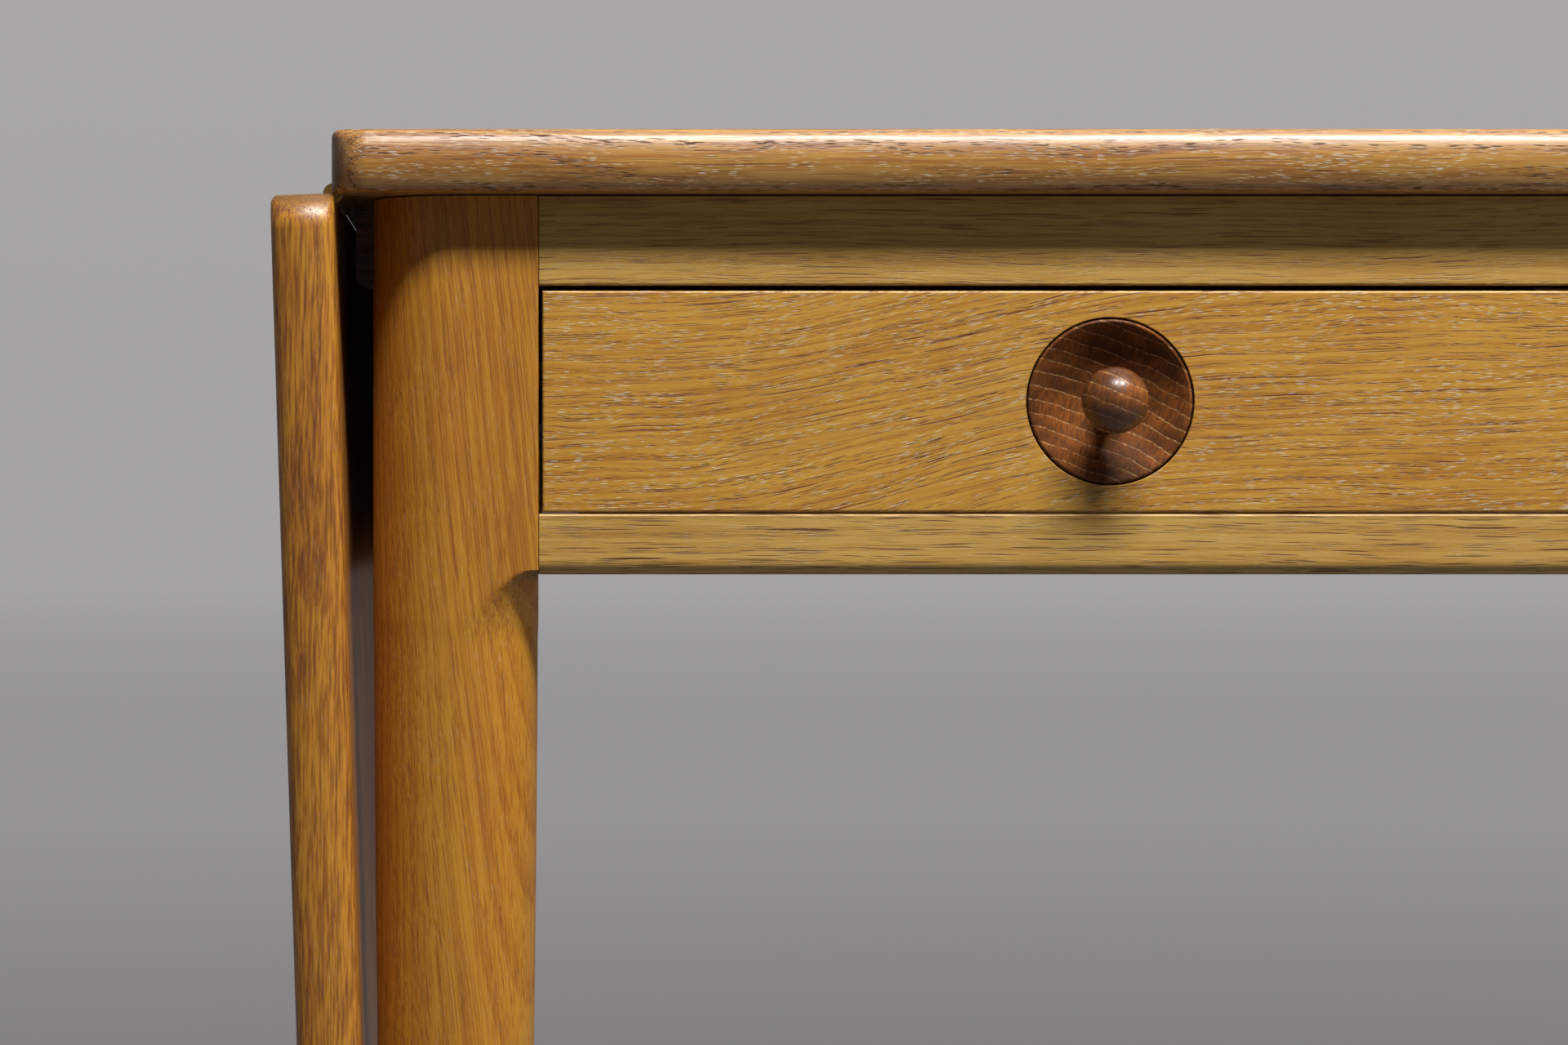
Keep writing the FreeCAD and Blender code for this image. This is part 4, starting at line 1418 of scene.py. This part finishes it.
    def _knob_profile(self) -> list[tuple[float, float]]:
        """Radius and reach of the ball and its neck, from inside the dish to the ball's tip.

        Returns:
            The points, as radius and reach in front of the face.
        """
        cove = self.neck_cove
        neck = self.spigot_radius - self.neck_clearance
        reach = math.sqrt((self.knob_radius + cove) ** 2 - (neck + cove) ** 2)
        cove_centre = (neck + cove, self.knob_reach - reach)
        join = math.degrees(math.atan2(reach, -(neck + cove)))
        points = [(neck, -self.dish_thickness - self.neck_depth), (neck, cove_centre[1])]
        points += arc(cove_centre, cove, 180, join, 8)[1:]
        start = math.degrees(math.atan2(-reach, neck + cove))
        points += arc((0.0, self.knob_reach), self.knob_radius, start, 90, 44)[1:-1]
        return points + [(0.0, self.knob_reach + self.knob_radius)]


@dataclass(frozen=True)
class Lamp:
    """A soft rectangular lamp that the camera doesn't see. Lengths are metres, power is watts."""

    name: str
    place: Point
    aim: Point
    size: tuple[float, float]
    power: float
    mirrored: bool = True

    def hang(self) -> None:
        """Adds the lamp to the scene; shiny surfaces show it only where it is mirrored."""
        data = bpy.data.lights.new(self.name, "AREA")
        data.shape = "RECTANGLE"
        data.size, data.size_y = self.size
        data.energy = self.power
        thing = bpy.data.objects.new(self.name, data)
        place = Vector(self.place)
        thing.location = place
        thing.rotation_euler = (Vector(self.aim) - place).to_track_quat("-Z", "Y").to_euler()
        thing.visible_camera = False
        thing.visible_glossy = self.mirrored
        bpy.context.scene.collection.objects.link(thing)


FILL_LAMPS = (
    Lamp("overhead", (0.2, 0.1, 2.65), (0.0, 0.0, 0.7), (2.4, 1.2), 12.0),
    Lamp("side", (1.9, -0.55, 0.75), (-0.59, -0.33, 0.52), (0.5, 0.35), 14.0, False),
    Lamp("rear_left", (-1.9, 2.6, 2.1), (0.0, 0.1, 0.45), (1.4, 1.4), 60.0, False),
    Lamp("rear_right", (2.4, 1.9, 1.9), (0.0, 0.1, 0.45), (1.4, 1.4), 70.0, False),
)


@dataclass
class Studio:
    """Camera, lamps, floor and backdrop. Lengths are metres."""

    camera_place: Point = (-0.5866, -1.7955, 0.5907)
    lens: float = 100.5
    shift_x: float = 0.15775
    key_side: float = 0.35
    key_rise: float = 63.2
    key_distance: float = 2.97
    key_size: tuple[float, float] = (1.8, 0.47)
    key_power: float = 150.0
    aim: Point = (-0.2, -0.36, 0.62)
    floor_radius: float = 60.0
    weak_light: float = 0.13
    mirrored_backdrop: float = 0.32
    mirrored_floor: float = 0.3
    lit_floor: tuple[float, float] = (1.1, 3.2)
    near_fade: tuple[float, float] = (1.5, 7.5)
    far_fade: tuple[float, float] = (6.0, 40.0)
    horizon: Colour = srgb(165, 163, 164)
    zenith: Colour = srgb(169, 167, 168)
    near_floor: Colour = srgb(126, 124, 125)
    middle_floor: Colour = srgb(150, 148, 149)
    pale_floor: Colour = srgb(184, 182, 182)
    pale_grain: Colour = srgb(170, 168, 168)
    bounce_floor: Colour = srgb(78, 76, 76)

    def build(self) -> None:
        """Sets up the whole studio."""
        bpy.context.scene.view_settings.view_transform = "Standard"
        self._camera()
        rise = math.radians(self.key_rise)
        away = Vector((0.0, -math.cos(rise), math.sin(rise)))
        aim = Vector(self.aim) + Vector((self.key_side, 0.0, 0.0))
        place = aim + away * self.key_distance
        for lamp in (Lamp("key", tuple(place), tuple(aim), self.key_size, self.key_power), *FILL_LAMPS):
            lamp.hang()
        self._world()
        self._floor()

    def _camera(self) -> None:
        """Places the camera square to the desk's front, near its left end."""
        data = bpy.data.cameras.new("camera")
        data.lens = self.lens
        data.sensor_width = 36.0
        data.shift_x = self.shift_x
        data.clip_start = 0.05
        data.clip_end = 300.0
        thing = bpy.data.objects.new("camera", data)
        thing.location = self.camera_place
        thing.rotation_euler = (math.radians(90), 0.0, 0.0)
        bpy.context.scene.collection.objects.link(thing)
        bpy.context.scene.camera = thing

    def _world(self) -> None:
        """A pale grey backdrop for what the camera and reflections see, and a weak even light."""
        world = bpy.data.worlds.new("studio")
        bpy.context.scene.world = world
        world.use_nodes = True
        shader = Shader(world.node_tree)
        way = shader.add("ShaderNodeTexCoord").outputs["Generated"]
        rise = shader.number("ShaderNodeSeparateXYZ", {}, {0: way}, 2)
        colour = shader.mixed(rise.eased(0.0, 0.12), self.horizon, self.zenith)
        seen = shader.add("ShaderNodeBackground", {}, {"Color": colour, "Strength": 1.0})
        weak = shader.add("ShaderNodeBackground", {}, {"Color": self.horizon, "Strength": self.weak_light})
        rays = shader.add("ShaderNodeLightPath").outputs
        camera = Field(shader, rays["Is Camera Ray"])
        glossy = Field(shader, rays["Is Glossy Ray"])
        clear = Field(shader, rays["Is Transmission Ray"])
        share = (camera + glossy * self.mirrored_backdrop + clear).at_most(1.0)
        mixed = shader.add("ShaderNodeMixShader", {}, {0: share, 1: weak.outputs[0], 2: seen.outputs[0]})
        shader.add("ShaderNodeOutputWorld", {}, {"Surface": mixed.outputs[0]})

    def _floor(self) -> None:
        """A plain pale floor, lit near the desk; further out it glows with a painted falloff, darker nearer
        the desk, that fades into the backdrop.
        """
        data = bpy.data.meshes.new("studio_floor")
        shape = bmesh.new()
        bmesh.ops.create_circle(shape, cap_ends=True, segments=96, radius=self.floor_radius)
        shape.to_mesh(data)
        shape.free()
        thing = bpy.data.objects.new("studio_floor", data)
        bpy.context.scene.collection.objects.link(thing)
        material = bpy.data.materials.new("pale_floor")
        material.use_nodes = True
        shader = Shader(material.node_tree)
        spot = shader.add("ShaderNodeTexCoord").outputs["Object"]
        away = shader.number("ShaderNodeVectorMath", {"operation": "LENGTH"}, {0: spot}, "Value")
        grain = shader.noise(spot, 90.0, 3.0)
        rays = shader.add("ShaderNodeLightPath").outputs
        camera = Field(shader, rays["Is Camera Ray"])
        glossy = Field(shader, rays["Is Glossy Ray"])
        seen = (camera + glossy * self.mirrored_floor).at_most(1.0)
        pale = shader.mixed(grain.eased(0.3, 0.7) * 0.15, self.pale_floor, self.pale_grain)
        paint = shader.mixed(seen, self.bounce_floor, pale)
        lit = shader.add("ShaderNodeBsdfPrincipled", {}, {
            "Base Color": paint, "Roughness": grain * 0.1 + 0.55,
            "Normal": shader.bump(grain, 0.0002, 0.3)})
        # painted falloff: the glowing outer floor is darker nearer the desk and paler far off, instead of
        # being lit
        nearer = shader.mixed(away.eased(*self.near_fade), self.near_floor, self.middle_floor)
        colour = shader.mixed(away.eased(*self.far_fade), nearer, self.horizon)
        far = shader.add("ShaderNodeEmission", {}, {"Color": colour, "Strength": 1.0})
        share = away.eased(*self.lit_floor) * seen
        mixed = shader.add("ShaderNodeMixShader", {}, {0: share, 1: lit.outputs[0], 2: far.outputs[0]})
        shader.add("ShaderNodeOutputMaterial", {}, {"Surface": mixed.outputs[0]})
        data.materials.append(material)


def oak_finishes() -> dict[str, bpy.types.Material]:
    """One oak for each visible board, each cut from another place in the tree.

    Returns:
        The materials by the name of their board.
    """
    length = Along.LENGTH
    height = Along.HEIGHT
    straw = {"pale": srgb(208, 166, 86), "golden": srgb(190, 143, 64), "deep": srgb(148, 102, 42),
             "glint_amount": 0.15, "line": srgb(100, 50, 14), "streak_strength": 0.4, "streak_width": 0.9,
             "line_width": 0.8, "line_length": 30.0}
    amber = {"pale": srgb(199, 140, 42), "golden": srgb(178, 113, 31), "deep": srgb(139, 78, 22),
             "line": srgb(132, 62, 14), "streak_length": 60.0, "line_length": 75.0, "line_width": 0.8,
             "line_amount": 0.55, "pore_amount": 0.25, "glint_amount": 0.12, "streak_width": 0.55,
             "streak_strength": 0.5, "coat": 0.15, "roughness": 0.42}
    striped = {"pale": srgb(199, 137, 42), "golden": srgb(172, 109, 32), "deep": srgb(129, 73, 23),
               "streak_width": 0.9, "streak_length": 16.0, "streak_strength": 0.9, "pore_amount": 0.4,
               "line_amount": 0.5, "line_length": 30.0, "glint_amount": 0.1}
    woods = {
        "top": Wood("oak_top", length, shift=(90.0, 0.0, 30.0), pith=(120.0, 820.0),
                    pale=srgb(192, 142, 64), golden=srgb(172, 115, 46), deep=srgb(126, 74, 28),
                    pore=srgb(76, 50, 30), pore_amount=1.0, pore_width=0.75, pore_length=6.5,
                    line_amount=0.5, glint_amount=0.75, end_grain=0.95, coat=1.0, roughness=0.38),
        "left_leaf": Wood("oak_left_leaf", height, shift=(40.0, 0.0, 0.0), pith=(-560.0, 200.0), **striped),
        "right_leaf": Wood("oak_right_leaf", height, shift=(300.0, 55.0, 20.0), pith=(560.0, 200.0),
                           **striped),
        "upper_rail": Wood("oak_upper_rail", length, shift=(0.0, 40.0, -480.0), pore_amount=0.5,
                           pore_length=12.0, line_amount=0.65, **straw),
        "lower_rail": Wood("oak_lower_rail", length, shift=(410.0, 20.0, -390.0), pore_amount=0.6,
                           pore_length=14.0, line_amount=1.0, **straw),
        "front_left_leg": Wood("oak_front_left_leg", height, shift=(0.0, 613.5, 324.0), pith=(30.0, 16.0),
                               lean=(0.11, 0.02), **amber),
        "front_right_leg": Wood("oak_front_right_leg", height, shift=(900.0, -580.0, 300.0),
                                pith=(-60.0, 40.0), lean=(0.03, 0.01), **amber),
        "back_left_leg": Wood("oak_back_left_leg", height, shift=(1700.0, 640.0, -350.0),
                              pith=(50.0, 60.0), **amber),
        "back_right_leg": Wood("oak_back_right_leg", height, shift=(2600.0, -640.0, -300.0),
                               pith=(70.0, -40.0), **amber),
        "side_rails": Wood("oak_side_rails", Along.DEPTH, shift=(0.0, 0.0, -560.0)),
        "back_rail": Wood("oak_back_rail", length, shift=(800.0, 0.0, -560.0)),
        "dividers": Wood("oak_dividers", height, shift=(100.0, 0.0, 0.0)),
    }
    return {name: wood.build() for name, wood in woods.items()}


def dress_frame_nodes(oak: dict[str, bpy.types.Material]) -> None:
    """Gives every CAD node that stays its own finish.

    Args:
        oak: the oak finishes by name.
    """
    pale = {"pale": srgb(222, 190, 138), "golden": srgb(204, 166, 108), "deep": srgb(170, 124, 70)}
    drawer_side = Wood("oak_drawer_sides", Along.DEPTH, **pale, shift=(0.0, 12.0, -500.0)).build()
    drawer_cross = Wood("oak_drawer_backs", Along.LENGTH, **pale, shift=(0.0, 60.0, -420.0)).build()
    beech = Wood("beech", Along.HEIGHT, pale=srgb(226, 186, 140), golden=srgb(212, 166, 118),
                 deep=srgb(184, 132, 86), pore_amount=0.3, glint_amount=0.1, pore_length=2.0).build()
    teak = Wood("teak_supports", Along.LENGTH, pale=srgb(120, 66, 34), golden=srgb(96, 50, 26),
                deep=srgb(64, 32, 18), pore=srgb(34, 18, 12), glint=srgb(150, 100, 60),
                glint_amount=0.15).build()
    brass = Metal("aged_brass", srgb(214, 176, 96), srgb(128, 92, 44), 0.26).build()
    steel = Metal("steel", srgb(178, 176, 172), srgb(110, 106, 102), 0.3).build()
    chosen = (
        ("side_rail", oak["side_rails"]), ("back_rail", oak["back_rail"]), ("divider", oak["dividers"]),
        ("inner_side", drawer_side), ("support_guides", drawer_cross), ("drawer_runners", drawer_side),
        ("runner_screws", steel), ("underside_screws", steel), ("top_buttons", drawer_cross),
        ("hinge", brass), ("leaf_support", teak), ("support_peg", beech),
    )
    for name, thing in frame["nodes"].items():
        if name.startswith("drawer_") and name.endswith(("side_left", "side_right")):
            finish = drawer_side
        elif name.startswith("drawer_") and name.endswith(("back", "bottom")):
            finish = drawer_cross
        else:
            found = [material for start, material in chosen if name.startswith(start)]
            if not found:
                continue
            finish = found[0]
        for slot in thing.material_slots:
            slot.material = finish


PLANK_PLACES = {"left": 0.0, "middle": 700.0, "right": 1500.0}


def main() -> None:
    """Builds the desk's pieces around the frame, in order, and sets up the studio."""
    logging.basicConfig(level=logging.INFO, format="%(message)s")
    oak = oak_finishes()
    Top(oak).build()
    Legs(oak).build()
    FrontRails(oak).build()
    for name, plank_place in PLANK_PLACES.items():
        Drawer(name, plank_place).build()
    dress_frame_nodes(oak)
    Studio().build()


if __name__ == "__main__":
    main()
